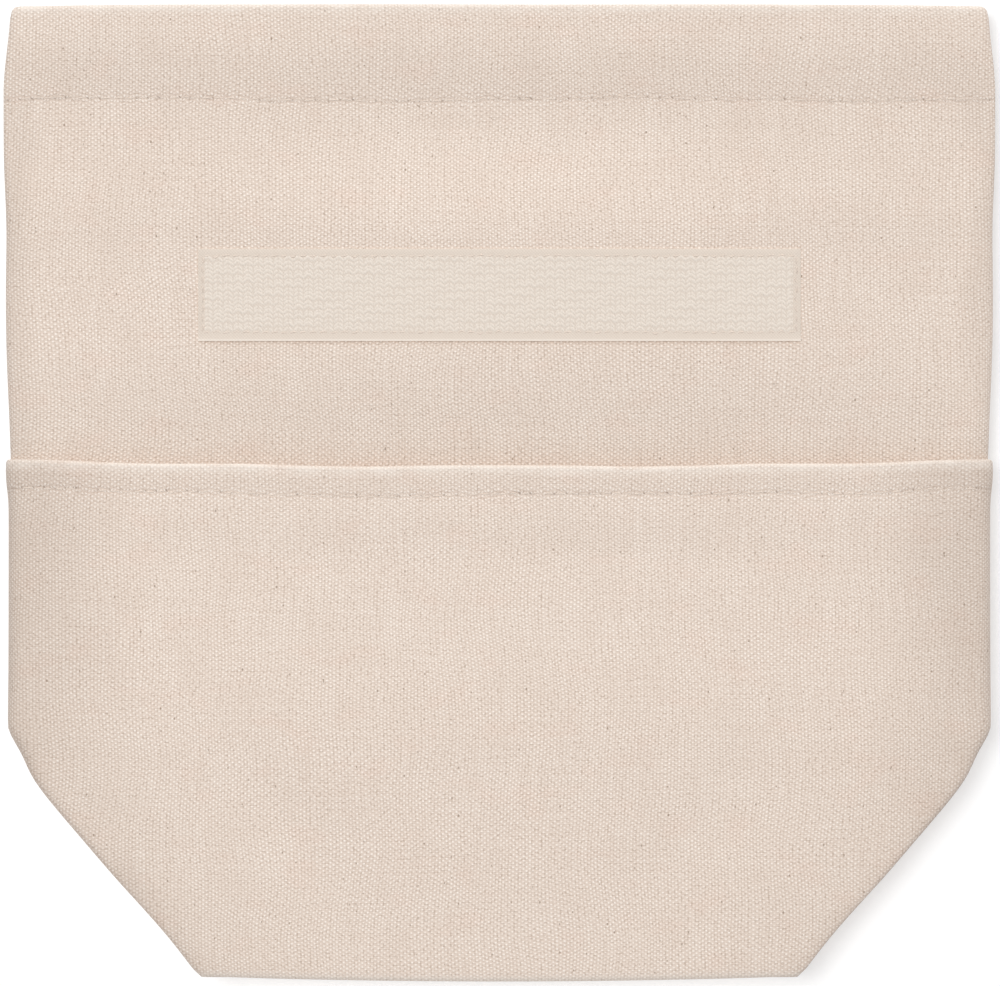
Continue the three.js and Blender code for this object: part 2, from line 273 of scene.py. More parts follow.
pocketLook = {
    "height": 139.55,
    "hem": 9,
    "hemStitch": 7.9,
    "plies": 1.9,
    "dip": 1.2,  # how far the mouth lies below its ends
    "dipReach": (0.72, 1.04),  # as shares of the half width
    "slack": 0.45,  # how much lower the mouth's middle hangs
    "slackReach": (0.4, 0.58),
    "droop": (0.32, 0.29, 0.11),  # and a little more on either side of it
    "flare": 0.55,  # how much further out the hem stands, and how much less at its fold
    "foldFlare": 0.2,
    "foldFlareFrom": 6,
    "flareReach": 4,
    "seamGap": 0.25,
    "proud": 0.8,
    "mouthTop": 15.0,
    "mouthTopFrom": (60, 118),
    "crown": 0.7,
    "crownReach": (60, 112),
    "crownWidth": 95,
    "dipBelowHem": (0.35, 24, 7),
    "cornerDip": (0.5, 33, 12),  # a slanting dip at each lower corner
    "cornerDipLean": 0.55,
    "cornerDipAt": (1, 42, 22),
    "sideFall": 1.2,  # how far the face sinks towards the side seams
    "sideFallLow": 0.3,  # share of it near the bottom
    "sideFallFrom": (25, 85),
    "sideFallReach": 10,
    "swell": 0.2,
    "stitchDip": 0.18,
    "stitchPitch": 3.0,
    "stitchEnd": 3.0,  # how far inside the seam the stitching ends
    "stitchWander": 0.3,
    "openFrom": 40,  # where the mouth starts to lift, from the middle
    "seamShade": 0.28,  # painted shade: how much darker the cloth is coloured along its side seams
    "seamShadeReach": (2, 60),
    "cornerShade": 0.13,  # and painted shade along the slanted corners
    # painted shade on the hem
    "hemShade": 0.035,
    "hemBlend": 4,
    "hemShadeEnds": (4.5, 1.5),  # where that painted hem shade ends, below the fold
    "seamShadeOnHem": 1,  # how much of the painted seam shade is left on the hem
    "mouthShade": 0,
    "belowHem": 0,
    "tapeShade": 0,
}

wallShape = {
    "swell": 0.22,
    "sag": 2.05,  # how far the front lies lower below the tape
    "sagReach": (93, 127),  # below the mouth
    "sagMiddle": (0.55, 125),  # how much less it sags at this distance from the middle
    "hemRise": 1.7,  # from the stitching up to the mouth
    "hemRiseReach": (6, 29),
    "hemRiseWave": (0.12, 23),
    "backRise": 0.2,
    "hemWave": 0.35,
    "hemWaveReach": (3, 24),
    "hemWaveLengths": (19, 41),
    "hemWaveStart": 0.6,
    "underPocketReach": 110,
    "stitchDip": 0.14,
    "stitchPitch": 3.1,
    "stitchEnd": 3.5,
    "stitchWander": 0.4,
    # painted shade along the side seams and slanted corners
    "seamShade": 0.11,
    "seamShadeReach": (15.5, 24),
    "cornerShade": 0,
    # painted shade on the hem, below the stitching
    "hemShade": 0.045,
    "hemBlend": 12,
    "hemShadeEnds": (18, 10),
    "seamShadeOnHem": 0,
    "mouthShade": 0.06,  # painted shade: how much darker it is just above the pocket
    "belowHem": 0.055,  # painted shade below the hem, towards the sides
    "tapeShade": 0.22,  # and painted shadow where the tape's lower edge shades it
}
wallSwell = {side: settleCloth(name, bag["edge"], mouth, stitchUp, seed)
             for side, name, seed in ((front, "frontSwell", 3), (back, "backSwell", 8))}


# A line of stitches is never quite straight, nor its stitches quite the same length
stitching = {
    "wander": ((21, 0, 1), (6.3, 2, 0.5)),  # waves across the line: length, start and size
    "drift": ((4.7, 0, 0.35), (11.3, 1, 0.3)),  # and along it
    "dips": ((0.6, 0, 0.7), (0.8, 0, 3.2)),  # how the thread draws the cloth in
    "scatter": 0.25,  # how far each hole strays from the line
}


def swingOf(x, waves):
    return sum(size * np.sin(x / length + start) for length, start, size in waves)


def stitchLine(x, look):
    return look["stitchWander"] * swingOf(x, stitching["wander"])


def stitchDip(x, away, look):
    away = away - stitchLine(x, look)
    return look["stitchDip"] * sum(wave(away, *dip) for dip in stitching["dips"])


def sideFall(up):
    look = pocketLook
    return look["sideFall"] * between(look["sideFallLow"], 1, ease(up, *look["sideFallFrom"]))


# 1 at the side seam, fading over the cloth
def besideSeam(x, up):
    fromSide = np.maximum(halfWidth(up) - bag["edge"] - np.abs(x), 0)
    return np.exp(-fromSide / pocketLook["sideFallReach"])


def wallRelief(side, x, up):
    shape = wallShape
    fromMouth = mouth - up
    swell = shape["swell"] * swellAt(wallSwell[side], x, up)
    uneven, length = shape["hemRiseWave"]
    rise = shape["hemRise"] * (1 - ease(fromMouth, *shape["hemRiseReach"]))
    rise = rise * (1 + uneven * np.cos(x / length))
    if side == back:
        return shape["backRise"] * rise - np.abs(swell) - stitchDip(x, up - stitchUp, shape)
    short, long = shape["hemWaveLengths"]
    hemWave = 1 + np.sin(x / short + shape["hemWaveStart"]) * np.cos(x / long)
    rise = rise - shape["hemWave"] * hemWave * (1 - ease(fromMouth, *shape["hemWaveReach"]))
    less, away = shape["sagMiddle"]
    sag = shape["sag"] * ease(fromMouth, *shape["sagReach"]) * clearOfBase(up) * (1 - less * (x / away) ** 2)
    underPocket = sideFall(up) * (1 - ease(up, shape["underPocketReach"], pocketLook["height"]))
    return swell + rise - sag - underPocket * besideSeam(x, up) - stitchDip(x, up - stitchUp, shape)


# A row of the cloth: at a depth off below its face it lies at start + (radius - off) * lean up the bag
# and at a depth of deep + keep * off in the wall.
def row(start, grain, radius=0, lean=0, deep=0, keep=1, rise=1, drop=0):
    return {"start": start, "grain": grain, "radius": radius, "lean": lean,
            "deep": deep, "keep": keep, "rise": rise, "drop": drop}


def stack(items):
    return {key: np.array([[item[key]] for item in items], float) for key in items[0]}


def plainRows(low, high, pitch):
    count = max(1, round((high - low) / pitch))
    return [row(up, up) for up in np.linspace(low, high, count + 1)]


def finerNear(line, low, high, pitch, fine=0.5, reach=3.0):
    places = [r["start"] for r in plainRows(low, high, pitch) if abs(r["start"] - line) > reach]
    places += list(np.arange(line - reach, line + reach + fine / 2, fine))
    return [row(up, up) for up in sorted(p for p in places if low <= p <= high)]


# The rounded edge from seam to flat: how far out and how far up each point lies, as shares
def roundedEdge(steps, fullness):
    turn = np.linspace(0, math.pi / 2, steps + 1)
    return np.cos(turn) ** fullness, np.sin(turn) ** fullness


# The slanted edges are folds too, and as full
def fullerLow(share, up):
    return share ** between(bag["foldFullness"] / bag["edgeFullness"], 1, onSide(up))


# The turn into a seam, from inside outwards
def seamTurn():
    return np.linspace(math.pi / 2, 0, bag["seamSteps"] + 1)


def lipRows(steps=12, proud=0):
    edge, roll, tuck = bag["edge"], bag["seamRoll"], bag["tuck"]
    outward, upward = roundedEdge(steps, bag["foldFullness"])
    outward = outward - tuck / (edge + proud) * (1 - upward) ** 2
    fall = bag["wall"] + 1  # about how far the edge falls
    run = np.hypot(np.diff(outward) * (edge + proud), np.diff(upward) * fall).cumsum()
    arc, seam = run[-1], roll - proud + tuck
    rows = [row(seam + bag["seamAllowance"], -arc - bag["seamAllowance"], roll, 0, rise=0, drop=1)]
    for turn in seamTurn():
        rows.append(row(seam, -arc - roll * turn, roll, -math.cos(turn), rise=0, drop=math.sin(turn)))
    for k in range(1, steps):
        rows.append(row(edge, edge - arc + run[k - 1], edge + proud, -outward[k], rise=upward[k]))
    return rows


def hemRows(top, plies, steps=8):
    radius = plies / 2
    rows = []
    for k in range(steps + 1):
        a = k / steps * math.pi
        rows.append(row(top - radius, top - radius + radius * a, radius, math.sin(a),
                        deep=radius * (1 - math.cos(a)), keep=math.cos(a)))
    return rows


def facingRows(high, low, plies, pitch=2.5):
    turned = high + plies / 2 * math.pi
    rows = plainRows(low, high, pitch)[::-1]
    return [row(r["start"], turned + high - r["start"], deep=plies, keep=-1) for r in rows]


# One edge of a cloth, from the seam in: the allowance inside, the turn into the seam, the rounded edge
def edgeColumns(steps, proud, sewn):
    edge, roll = bag["edge"], bag["seamRoll"]
    half = []
    if sewn:
        inside = edge - roll - bag["seamAllowance"]
        half.append(dict(share=1, base=inside, radius=roll, lean=0, rise=0, drop=1))
        for turn in seamTurn():
            half.append(dict(share=1, base=edge + proud - roll, radius=roll, lean=math.cos(turn), rise=0,
                             drop=math.sin(turn)))
    for outward, upward in list(zip(*roundedEdge(steps, bag["edgeFullness"])))[1 if sewn else 0:-1]:
        half.append(dict(share=1, base=0, radius=edge + proud, lean=outward, rise=upward, drop=0))
    return half


# Columns across the bag: an edge, the flat, and the other edge. A cloth that is inset has no edges.
def columns(pitch, steps=12, proud=0, sewn=True, inset=0):
    half = [] if inset else edgeColumns(steps, proud, sewn)
    count = round((bag["halfWidth"] - bag["edge"]) / pitch) * 2
    shares = np.linspace(-1, 1, count + 1)
    middle = [dict(share=s, base=-inset * abs(s), radius=0, lean=0, rise=1, drop=0) for s in shares]
    left = [dict(c, share=-1) for c in half]
    items = [dict(c, side=np.sign(c["share"])) for c in left + middle + half[::-1]]
    return {key: value.T for key, value in stack(items).items()}


def rowsAt(rows, off):
    return rows["start"] + (rows["radius"] - off) * rows["lean"], rows["deep"] + rows["keep"] * off


def acrossAt(cols, up, off, flare=0):
    reach = cols["base"] + (cols["radius"] + flare - off) * fullerLow(cols["lean"], up)
    reach = reach - bag["tuck"] * (1 - fullerLow(cols["rise"], up)) ** 2 * (1 - onSide(up))
    return cols["share"] * (halfWidth(up) - bag["edge"]) + cols["side"] * reach


# The mouth and the bottom edge both bow a little outward in the middle
def lengthways(up, cols):
    share, reach = cols["share"], bag["bowReach"]
    atMouth = (bag["mouthLow"] + bag["mouthBow"] * share**4) * ease(up, mouth - reach, mouth)
    atBottom = bag["bottomBow"] * (bag["bottomLevel"] - share**2) * (1 - ease(up, 0, reach))
    return up + bottom - atMouth - atBottom


# The wall's outer face, where shape says how much of the cloth's relief shows
def wallFace(side, x, up, shape=1):
    relief = shape * wallRelief(side, x, up)
    recess = bag["hemRecess"][side]
    if side == back:
        return recess * towardsHem(up) - relief
    low, high = bag["recessFrom"]
    share, more, width = bag["recessMiddle"]
    middle = share + wave(x, more, 0, width)
    return frontTop(up) - recess * (middle * ease(up, firstFold + low, firstFold + high)) + relief


def wallGrid(side, rows, cols, off, shape=1):
    up, depth = rowsAt(rows, off)
    x = acrossAt(cols, up, off)
    roll = bag["seamRoll"]
    turn = roll - (roll - off) * np.maximum(rows["drop"], cols["drop"])
    seam = frontTop(up) / 2 + side * (lipGap(up) + bag["seamGap"] + turn)
    face = wallFace(side, x, up, shape) - side * depth
    z = between(seam, face, rows["rise"] * fullerLow(cols["rise"], up))
    return asGrid(x, lengthways(up, cols), z)


# How far each point is from the cloth's middle thread, measured over the cloth
def grainOf(grid, rows):
    step = np.linalg.norm(np.diff(grid, axis=1), axis=2)
    across = np.concatenate([np.zeros((len(grid), 1)), np.cumsum(step, axis=1)], axis=1)
    across = across - across[:, grid.shape[1] // 2][:, None]
    return asGrid(across, rows["grain"])


# And how far from the side seam
def fromSeam(grain):
    return np.abs(grain[:, :1]) - np.abs(grain)


def makePiece(name, points, faces, grain, material, sharp=48, seamMap=None):
    mesh = bpy.data.meshes.new(name)
    mesh.from_pydata((points * mm).tolist(), [], faces.tolist())
    for layer, values in (("grain", grain), ("seam", seamMap)):
        if values is not None:
            uv = mesh.uv_layers.new(name=layer).uv
            uv.foreach_set("vector", values[faces.ravel()].astype(np.float32).ravel())
    mesh.shade_smooth()
    mesh.set_sharp_from_angle(angle=math.radians(sharp))
    mesh.materials.append(material)
    piece = bpy.data.objects.new(name, mesh)
    bpy.context.collection.objects.link(piece)
    return piece


# A closed sheet of cloth between two grids, with its grain as a UV map in millimetres
def sewSheet(name, outer, inner, grain, material, seamMap=None):
    rows, cols = outer.shape[:2]
    count = rows * cols
    at = np.arange(count).reshape(rows, cols)
    face = np.stack([at[:-1, :-1], at[:-1, 1:], at[1:, 1:], at[1:, :-1]], -1).reshape(-1, 4)
    ring = np.concatenate([at[0], at[1:, -1], at[-1, -2::-1], at[-2:0:-1, 0]])
    after = np.roll(ring, -1)
    rim = np.stack([after, ring, ring + count, after + count], -1)
    faces = np.concatenate([face, face[:, ::-1] + count, rim])
    points = np.concatenate([outer.reshape(-1, 3), inner.reshape(-1, 3)])
    a, b, c = (points[faces[:, k]] for k in range(3))
    if np.einsum("ij,ij->i", a, np.cross(b - a, c - a)).sum() < 0:
        faces = faces[:, ::-1]
    maps = [None if m is None else np.concatenate([m.reshape(-1, 2)] * 2) for m in (grain, seamMap)]
    return makePiece(name, points, faces, maps[0], material, seamMap=maps[1])


# Many thin threads in one piece. middle holds a row of points for each thread.
def spinThreads(name, middle, beside, away, radius, material, sides=6):
    turn = np.linspace(0, 2 * math.pi, sides, endpoint=False)[:, None]
    beside, away = (np.broadcast_to(way, middle.shape)[:, :, None] for way in (beside, away))
    wide = np.broadcast_to(radius, middle.shape[:2])[:, :, None, None]
    points = middle[:, :, None] + wide * (np.cos(turn) * beside + np.sin(turn) * away)
    threads, steps = middle.shape[:2]
    at = np.arange(threads * steps * sides).reshape(threads, steps, sides)
    near, far = at[:, :-1], at[:, 1:]
    faces = np.stack([near, np.roll(near, -1, 2), np.roll(far, -1, 2), far], -1).reshape(-1, 4)
    lengths = np.linalg.norm(np.diff(middle, axis=1), axis=2)
    run = np.concatenate([np.zeros((threads, 1)), lengths.cumsum(1)], 1)
    run = run + 7.3 * np.arange(threads)[:, None]  # so that no two threads look the same
    grain = asGrid(run[:, :, None], (np.cos(turn) * 0.5)[:, 0])
    shape = points.reshape(-1, 3)
    a, b, c = (shape[faces[:, k]] for k in range(3))
    middles = np.repeat(((middle[:, :-1] + middle[:, 1:]) / 2).reshape(-1, 3), sides, axis=0)
    if np.einsum("ij,ij->i", a - middles, np.cross(b - a, c - a)).sum() < 0:
        faces = faces[:, ::-1]
    return makePiece(name, shape, faces, grain.reshape(-1, 2), material, sharp=80)


# Materials
def srgb(r, g, b):
    linear = [((c / 255 + 0.055) / 1.055) ** 2.4 if c > 10 else c / 255 / 12.92 for c in (r, g, b)]
    return (*linear, 1)


def newMaterial(name):
    material = bpy.data.materials.new(name)
    material.use_nodes = True
    tree = material.node_tree
    return material, tree, tree.nodes["Principled BSDF"]


# Sets a node's inputs, and links those that are given as sockets
def plug(node, inputs):
    for key, value in inputs.items():
        if isinstance(value, bpy.types.NodeSocket):
            value.id_data.links.new(value, node.inputs[key])
        else:
            node.inputs[key].default_value = value


def addNode(tree, kind, inputs, **settings):
    node = tree.nodes.new("ShaderNode" + kind)
    for key, value in settings.items():
        setattr(node, key, value)
    plug(node, inputs)
    return node


# A node in the tree that its inputs come from
def follow(kind, inputs, **settings):
    tree = next(value.id_data for value in inputs.values() if isinstance(value, bpy.types.NodeSocket))
    return addNode(tree, kind, inputs, **settings)


def calc(operation, *values, clamp=False):
    return follow("Math", dict(enumerate(values)), operation=operation, use_clamp=clamp).outputs[0]


def times(a, b):
    return calc("MULTIPLY", a, b)


def plus(a, b):
    return calc("ADD", a, b)


def minus(a, b):
    return calc("SUBTRACT", a, b)


def blendColour(share, a, b, way="MIX"):
    return follow("Mix", {0: share, 6: a, 7: b}, data_type="RGBA", blend_type=way).outputs[2]


def fromTo(value, low, high, newLow=0, newHigh=1, way="SMOOTHSTEP"):
    inputs = {"Value": value, "From Min": low, "From Max": high, "To Min": newLow, "To Max": newHigh}
    return follow("MapRange", inputs, interpolation_type=way).outputs[0]


# Both ways of a cloth's map: for its grain, the way across and the way along
def axesOf(tree, mapName="grain"):
    parts = follow("SeparateXYZ", {0: addNode(tree, "UVMap", {}, uv_map=mapName).outputs[0]})
    return parts.outputs[0], parts.outputs[1]


def patchy(across, along, acrossSize, alongSize, detail=2.0, seed=0.0):
    place = follow("CombineXYZ", {
        0: calc("DIVIDE", across, acrossSize), 1: calc("DIVIDE", along, alongSize), 2: seed})
    noise = follow("TexNoise", {"Vector": place.outputs[0], "Scale": 1.0, "Detail": detail})
    return noise.outputs[0]


# What every cloth and yarn ends in
def dress(shader, colour, height, bump, rough, strength=1.0, sheen=0):
    bumps = follow("Bump", {"Height": height, "Distance": bump, "Strength": strength}).outputs[0]
    plug(shader, {"Base Color": colour, "Normal": bumps, "Roughness": rough, "Sheen Weight": sheen})


duck = {  # natural cotton duck, a plain weave
    "warpPitch": 0.889,
    "weftPitch": 0.557,
    "yarn": srgb(252, 242, 232),
    "gap": srgb(227, 210, 196),
    "darkGap": srgb(198, 178, 162),
    "gapSizes": (0.9, 0.6),
    "gapFrom": (0.32, 0.62),
    "wander": 0.3,
    "wanderSizes": ((5, 9), (9, 5)),
    "sway": 7.0,
    "swaySizes": (55, 45),
    "pull": 0.45,  # how far a stitch draws the threads beside it
    "pullReach": 2.4,
    "dotNarrow": 1.45,
    "dotFlat": 0.55,
    "unevenDots": 0.5,
    "streaks": 0.4,
    "streakSizes": ((0.9, 22), (26, 0.6)),
    "contrast": (0.85, 1.1),
    "contrastSizes": (11, 14),
    "patch": srgb(214, 190, 172),
    "patchStrength": 0.035,
    "patchSizes": (16, 20),
    "blush": srgb(255, 214, 200),
    "blushStrength": 0.065,
    "blushSizes": (15, 9),
    # the colour of the painted shade
    "paintedShade": srgb(150, 139, 130),
    "speck": srgb(140, 116, 96),
    "speckScale": 0.55,
    "speckSizes": (0.4, 0.155),  # share of cells without one, and the largest
    "speckStrength": (0.25, 0.7),
    "creaseShade": srgb(128, 108, 94),  # painted shade in the crease along a line of stitches
    "creaseShadeStrength": 0.12,
    "creaseShadeSizes": (2.5, 9),
    # colour of the painted shade in the needle holes
    "hole": srgb(152, 131, 116),
    "holeStrength": (0.15, 0.65),
    "holeDepth": 2.0,
    "holeSlant": (-0.3, 1.1),
    "holeNarrow": 1.4,
    "holeSizes": (0.65, 1.0),
    # lighter folds: partly wear, partly painted highlight
    "wearAndHighlight": srgb(245, 236, 226),
    "wearAndHighlightReach": (1.0, 4.4),
    "wearAndHighlightSizes": (7, 3),
    "wearAndHighlightStrength": (0.2, 0.55),
    "foldWearAndHighlight": 0.3,  # the same along the bottom fold
    "foldWearAndHighlightReach": (0.5, 2.4),
    "bump": 0.00008,
    "roughness": 0.95,
    "sheen": 0.12,
    "shine": 0.2,
}


# The same two waves as swingOf draws
def swingNode(value, waves, scale=1):
    sines = []
    for length, start, size in waves:
        sine = calc("SINE", plus(calc("DIVIDE", value, length), start))
        sines.append(times(sine, size * scale))
    return plus(*sines)


# The line of stitches on the cloth: the stitch number at each point, how far above the line it lies, and
# three chances for each hole
def stitchPlaces(across, along, line, look):
    drift = swingNode(across, stitching["drift"])
    steps = calc("DIVIDE", plus(across, drift), look["stitchPitch"])
    chance = follow("TexWhiteNoise", {"W": calc("ROUND", steps)}, noise_dimensions="1D")
    odds = follow("SeparateColor", {0: chance.outputs["Color"]}).outputs
    swing = swingNode(across, stitching["wander"], look["stitchWander"])
    scatter = stitching["scatter"]
    swing = plus(swing, fromTo(odds[0], 0, 1, -scatter, scatter, "LINEAR"))
    return steps, minus(minus(along, line), swing), odds


# Small slanted holes where the needle went through, coloured dark as painted shade in the holes
def needleHoles(steps, above, odds, look, pitch):
    beside = times(minus(steps, calc("ROUND", steps)), pitch)
    slant = times(above, fromTo(odds[1], 0, 1, *look["holeSlant"], "LINEAR"))
    slanted = times(plus(beside, slant), look["holeNarrow"])
    square = plus(times(slanted, slanted), times(above, above))
    size = fromTo(odds[2], 0, 1, *look["holeSizes"])
    hole = fromTo(calc("DIVIDE", calc("SQRT", square), size), 0.1, 0.55, 1, 0)
    return times(hole, fromTo(odds[0], 0, 1, *look["holeStrength"]))


# One round light dot where a warp thread crosses on top, and darker cloth between the dots
def weaveDots(across, along, look, seed):
    threads = []
    for k, (axis, pitch) in enumerate(((across, look["warpPitch"]), (along, look["weftPitch"]))):
        quick = patchy(across, along, *look["wanderSizes"][k], 1, seed + k)
        slow = patchy(across, along, *look["swaySizes"], 1, seed + 10 + k)
        moved = plus(times(quick, look["wander"] * 2), times(slow, look["sway"]))
        threads.append(calc("DIVIDE", plus(axis, moved), pitch))
    warp, weft = threads
    waves = [calc("COSINE", times(yarn, math.pi)) for yarn in (warp, weft)]
    crossing = times(*waves)
    narrow = calc("POWER", calc("ABSOLUTE", waves[0]), look["dotNarrow"])
    dot = calc("POWER", calc("MAXIMUM", crossing, 0), look["dotFlat"])
    place = follow("CombineXYZ", {0: calc("ROUND", warp), 1: calc("ROUND", weft), 2: seed})
    chance = follow("TexWhiteNoise", {"Vector": place.outputs[0]}).outputs["Value"]
    uneven = calc("MULTIPLY_ADD", chance, look["unevenDots"], 1 - look["unevenDots"] * 0.6)
    return crossing, times(times(dot, narrow), uneven)


# Light warp dots on darker ground, with thicker and thinner threads and faint patches
def wovenColour(across, along, crossing, dots, look, seed):
    loose = calc("MULTIPLY_ADD", calc("ABSOLUTE", crossing), 0.22,
                 patchy(across, along, *look["gapSizes"], 2, seed + 3))
    ground = blendColour(fromTo(loose, *look["gapFrom"]), look["darkGap"], look["gap"])
    thick, thin = (patchy(across, along, *look["streakSizes"][k], 1, seed + 4 + k) for k in (0, 1))
    streak = minus(plus(thick, thin), 1)
    contrast = patchy(across, along, *look["contrastSizes"], 2, seed + 6)
    contrast = fromTo(contrast, 0.35, 0.65, *look["contrast"])
    tone = calc("MULTIPLY_ADD", streak, look["streaks"], times(dots, contrast))
    colour = blendColour(calc("MAXIMUM", tone, 0), ground, look["yarn"])
    patches = fromTo(patchy(across, along, *look["patchSizes"], 3, seed + 7), 0.3, 0.7)
    patches = times(patches, look["patchStrength"])
    colour = blendColour(patches, colour, look["patch"], "MULTIPLY")
    blush = patchy(across, along, *look["blushSizes"], 2, seed + 14)
    blush = fromTo(blush, 0.54, 0.72, 0, look["blushStrength"])
    return streak, blendColour(blush, colour, look["blush"], "MULTIPLY")


# Painted shade: where the cloth is coloured darker to stand for shade. A Reach starts at the side seam, a
# From at the bottom.
paintedShading = {
    "wander": 16,
    "wanderSizes": (22, 34),
    "seamFrom": (30, 85),
    "seamLow": 0.2,  # share of it that shows below
    "hemSeamFrom": (31, 21),  # below the hem's fold, where another share shows
    "hemSeamReach": (5, 12),
    "hemSeamEdge": 0.6,  # and yet another right at the seam
    "cornerReach": (14, 28),
    "cornerFrom": (58, 75),
    "abovePocket": (1, 8),
    "belowHemFrom": (192, 206),
    "belowHemTo": (222, 236),
    "belowHemReach": (55, 115),
    "belowHemMiddle": 0.15,
    "belowTape": 1.35,  # how far the tape's shade reaches
    "tapeHides": (4, 5),
    "tapeEnds": (1, 0.5),
}


# The shade under the tape's lower edge
def shadeByTape(across, along, strength):
    low, high = boxInMm("loop_tape")
    half, edge = high.x, low.y - bottom
    inside, outside = paintedShading["tapeEnds"]
    hideFrom, hidden = paintedShading["tapeHides"]
    shade = times(fromTo(along, edge - paintedShading["belowTape"], edge, 0, strength),
                  fromTo(calc("ABSOLUTE", across), half - inside, half + outside, 1, 0))
    return times(shade, fromTo(along, edge + hideFrom, edge + hidden, 1, 0))


# Painted shade: how much darker the cloth is coloured along its seams, on and below its hem, just above the
# pocket and under the tape
def paintedShadeOn(across, along, seamAway, seed, stitchAt, foldAt, piece):
    look = paintedShading
    uneven = patchy(across, along, *look["wanderSizes"], 2, seed + 9)
    uneven = calc("MULTIPLY_ADD", uneven, look["wander"], seamAway)
    # painted shade along the side seams, and low down along the slanted corners
    atSeam = times(fromTo(uneven, *piece["seamShadeReach"], 1, 0),
                   fromTo(along, *look["seamFrom"], look["seamLow"], 1))
    low, high = look["hemSeamFrom"]
    offHem = fromTo(along, foldAt - low, foldAt - high, 1, piece["seamShadeOnHem"])
    offHem = times(offHem, fromTo(seamAway, *look["hemSeamReach"], look["hemSeamEdge"], 1))
    atSeam = times(atSeam, offHem)
    atCorner = times(fromTo(uneven, *look["cornerReach"], piece["cornerShade"], 0),
                     fromTo(along, *look["cornerFrom"], 1, 0))
    # painted shade on the hem, fading towards its fold
    fullDark, lessDark = piece["hemShadeEnds"]
    onHem = fromTo(along, stitchAt - piece["hemBlend"], stitchAt + 3, 0, piece["hemShade"])
    onHem = times(onHem, fromTo(along, foldAt - fullDark, foldAt - lessDark, 1, 0.3))
    low, high = (pocketLook["height"] + above for above in look["abovePocket"])
    overPocket = fromTo(along, low, high, piece["mouthShade"], 0)
    belowHem = times(fromTo(along, *look["belowHemFrom"], 0, piece["belowHem"]),
                     fromTo(along, *look["belowHemTo"], 1, 0))
    belowHem = times(belowHem, fromTo(seamAway, *look["belowHemReach"], 1, look["belowHemMiddle"]))
    others = plus(onHem, plus(overPocket, atCorner))
    paintedShade = calc("MULTIPLY_ADD", atSeam, piece["seamShade"], others)
    paintedShade = plus(paintedShade, belowHem)
    return plus(paintedShade, shadeByTape(across, along, piece["tapeShade"]))


# Bits of seed husk spun into the yarn
def huskSpecks(across, along, look, seed):
    place = follow("CombineXYZ", {0: across, 1: times(along, 0.7), 2: seed})
    cells = follow("TexVoronoi", {"Vector": place.outputs[0], "Scale": look["speckScale"]})
    odds = follow("SeparateColor", {0: cells.outputs["Color"]}).outputs
    without, largest = look["speckSizes"]
    size = fromTo(odds[0], without, 1.0, 0.0, largest, "LINEAR")
    speck = fromTo(minus(cells.outputs["Distance"], size), -0.03, 0.01, 1, 0)
    return times(speck, fromTo(odds[1], 0.0, 1.0, *look["speckStrength"]))


# Lighter along the hem's fold and the bottom fold: partly wear, partly painted highlight where the folds
# catch the light
def wearAndHighlightOn(across, along, look, seed, foldAt):
    atFold = calc("ABSOLUTE", minus(along, foldAt))
    wearAndHighlight = patchy(across, along, *look["wearAndHighlightSizes"], 2, seed + 8)
    wearAndHighlight = times(fromTo(atFold, *look["wearAndHighlightReach"], 1, 0), fromTo(wearAndHighlight, 0.3, 0.7, *look["wearAndHighlightStrength"]))
    atBottom = calc("ABSOLUTE", plus(along, 0.4))
    return calc("MAXIMUM", wearAndHighlight, fromTo(atBottom, *look["foldWearAndHighlightReach"], look["foldWearAndHighlight"], 0))


def duckCloth(name, look, seed, stitchAt, piece, foldAt):
    material, tree, shader = newMaterial(name)
    across, along = axesOf(tree)
    steps, above, odds = stitchPlaces(across, along, stitchAt, piece)
    fromLine = calc("ABSOLUTE", above)
    pulled = times(calc("COSINE", times(steps, 2 * math.pi)),
                   fromTo(fromLine, 0, look["pullReach"], look["pull"], 0))
    crossing, dots = weaveDots(across, plus(along, pulled), look, seed + 1)
    streak, colour = wovenColour(across, along, crossing, dots, look, seed)
    # painted shade along the seams, on and below the hem, above the pocket and under the tape
    paintedShade = paintedShadeOn(across, along, axesOf(tree, "seam")[0], seed, stitchAt, foldAt, piece)
    # painted shade in the crease along the stitching
    creaseShade = times(fromTo(fromLine, 0, 1.0, look["creaseShadeStrength"], 0),
                   fromTo(patchy(across, along, *look["creaseShadeSizes"], 2, seed + 12), 0.35, 0.65))
    holes = needleHoles(steps, above, odds, look, piece["stitchPitch"])
    colour = blendColour(paintedShade, colour, look["paintedShade"], "MULTIPLY")
    colour = blendColour(huskSpecks(across, along, look, seed), colour, look["speck"])
    colour = blendColour(creaseShade, colour, look["creaseShade"], "MULTIPLY")
    colour = blendColour(holes, colour, look["hole"])
    # partly wear, partly painted highlight on the folds
    colour = blendColour(wearAndHighlightOn(across, along, look, seed, foldAt), colour, look["wearAndHighlight"])
    height = calc("MULTIPLY_ADD", crossing, 0.5, times(streak, 0.5))
    height = minus(height, times(holes, look["holeDepth"]))
    dress(shader, colour, height, look["bump"], look["roughness"], sheen=look["sheen"])
    plug(shader, {"Specular IOR Level": look["shine"]})
    return material


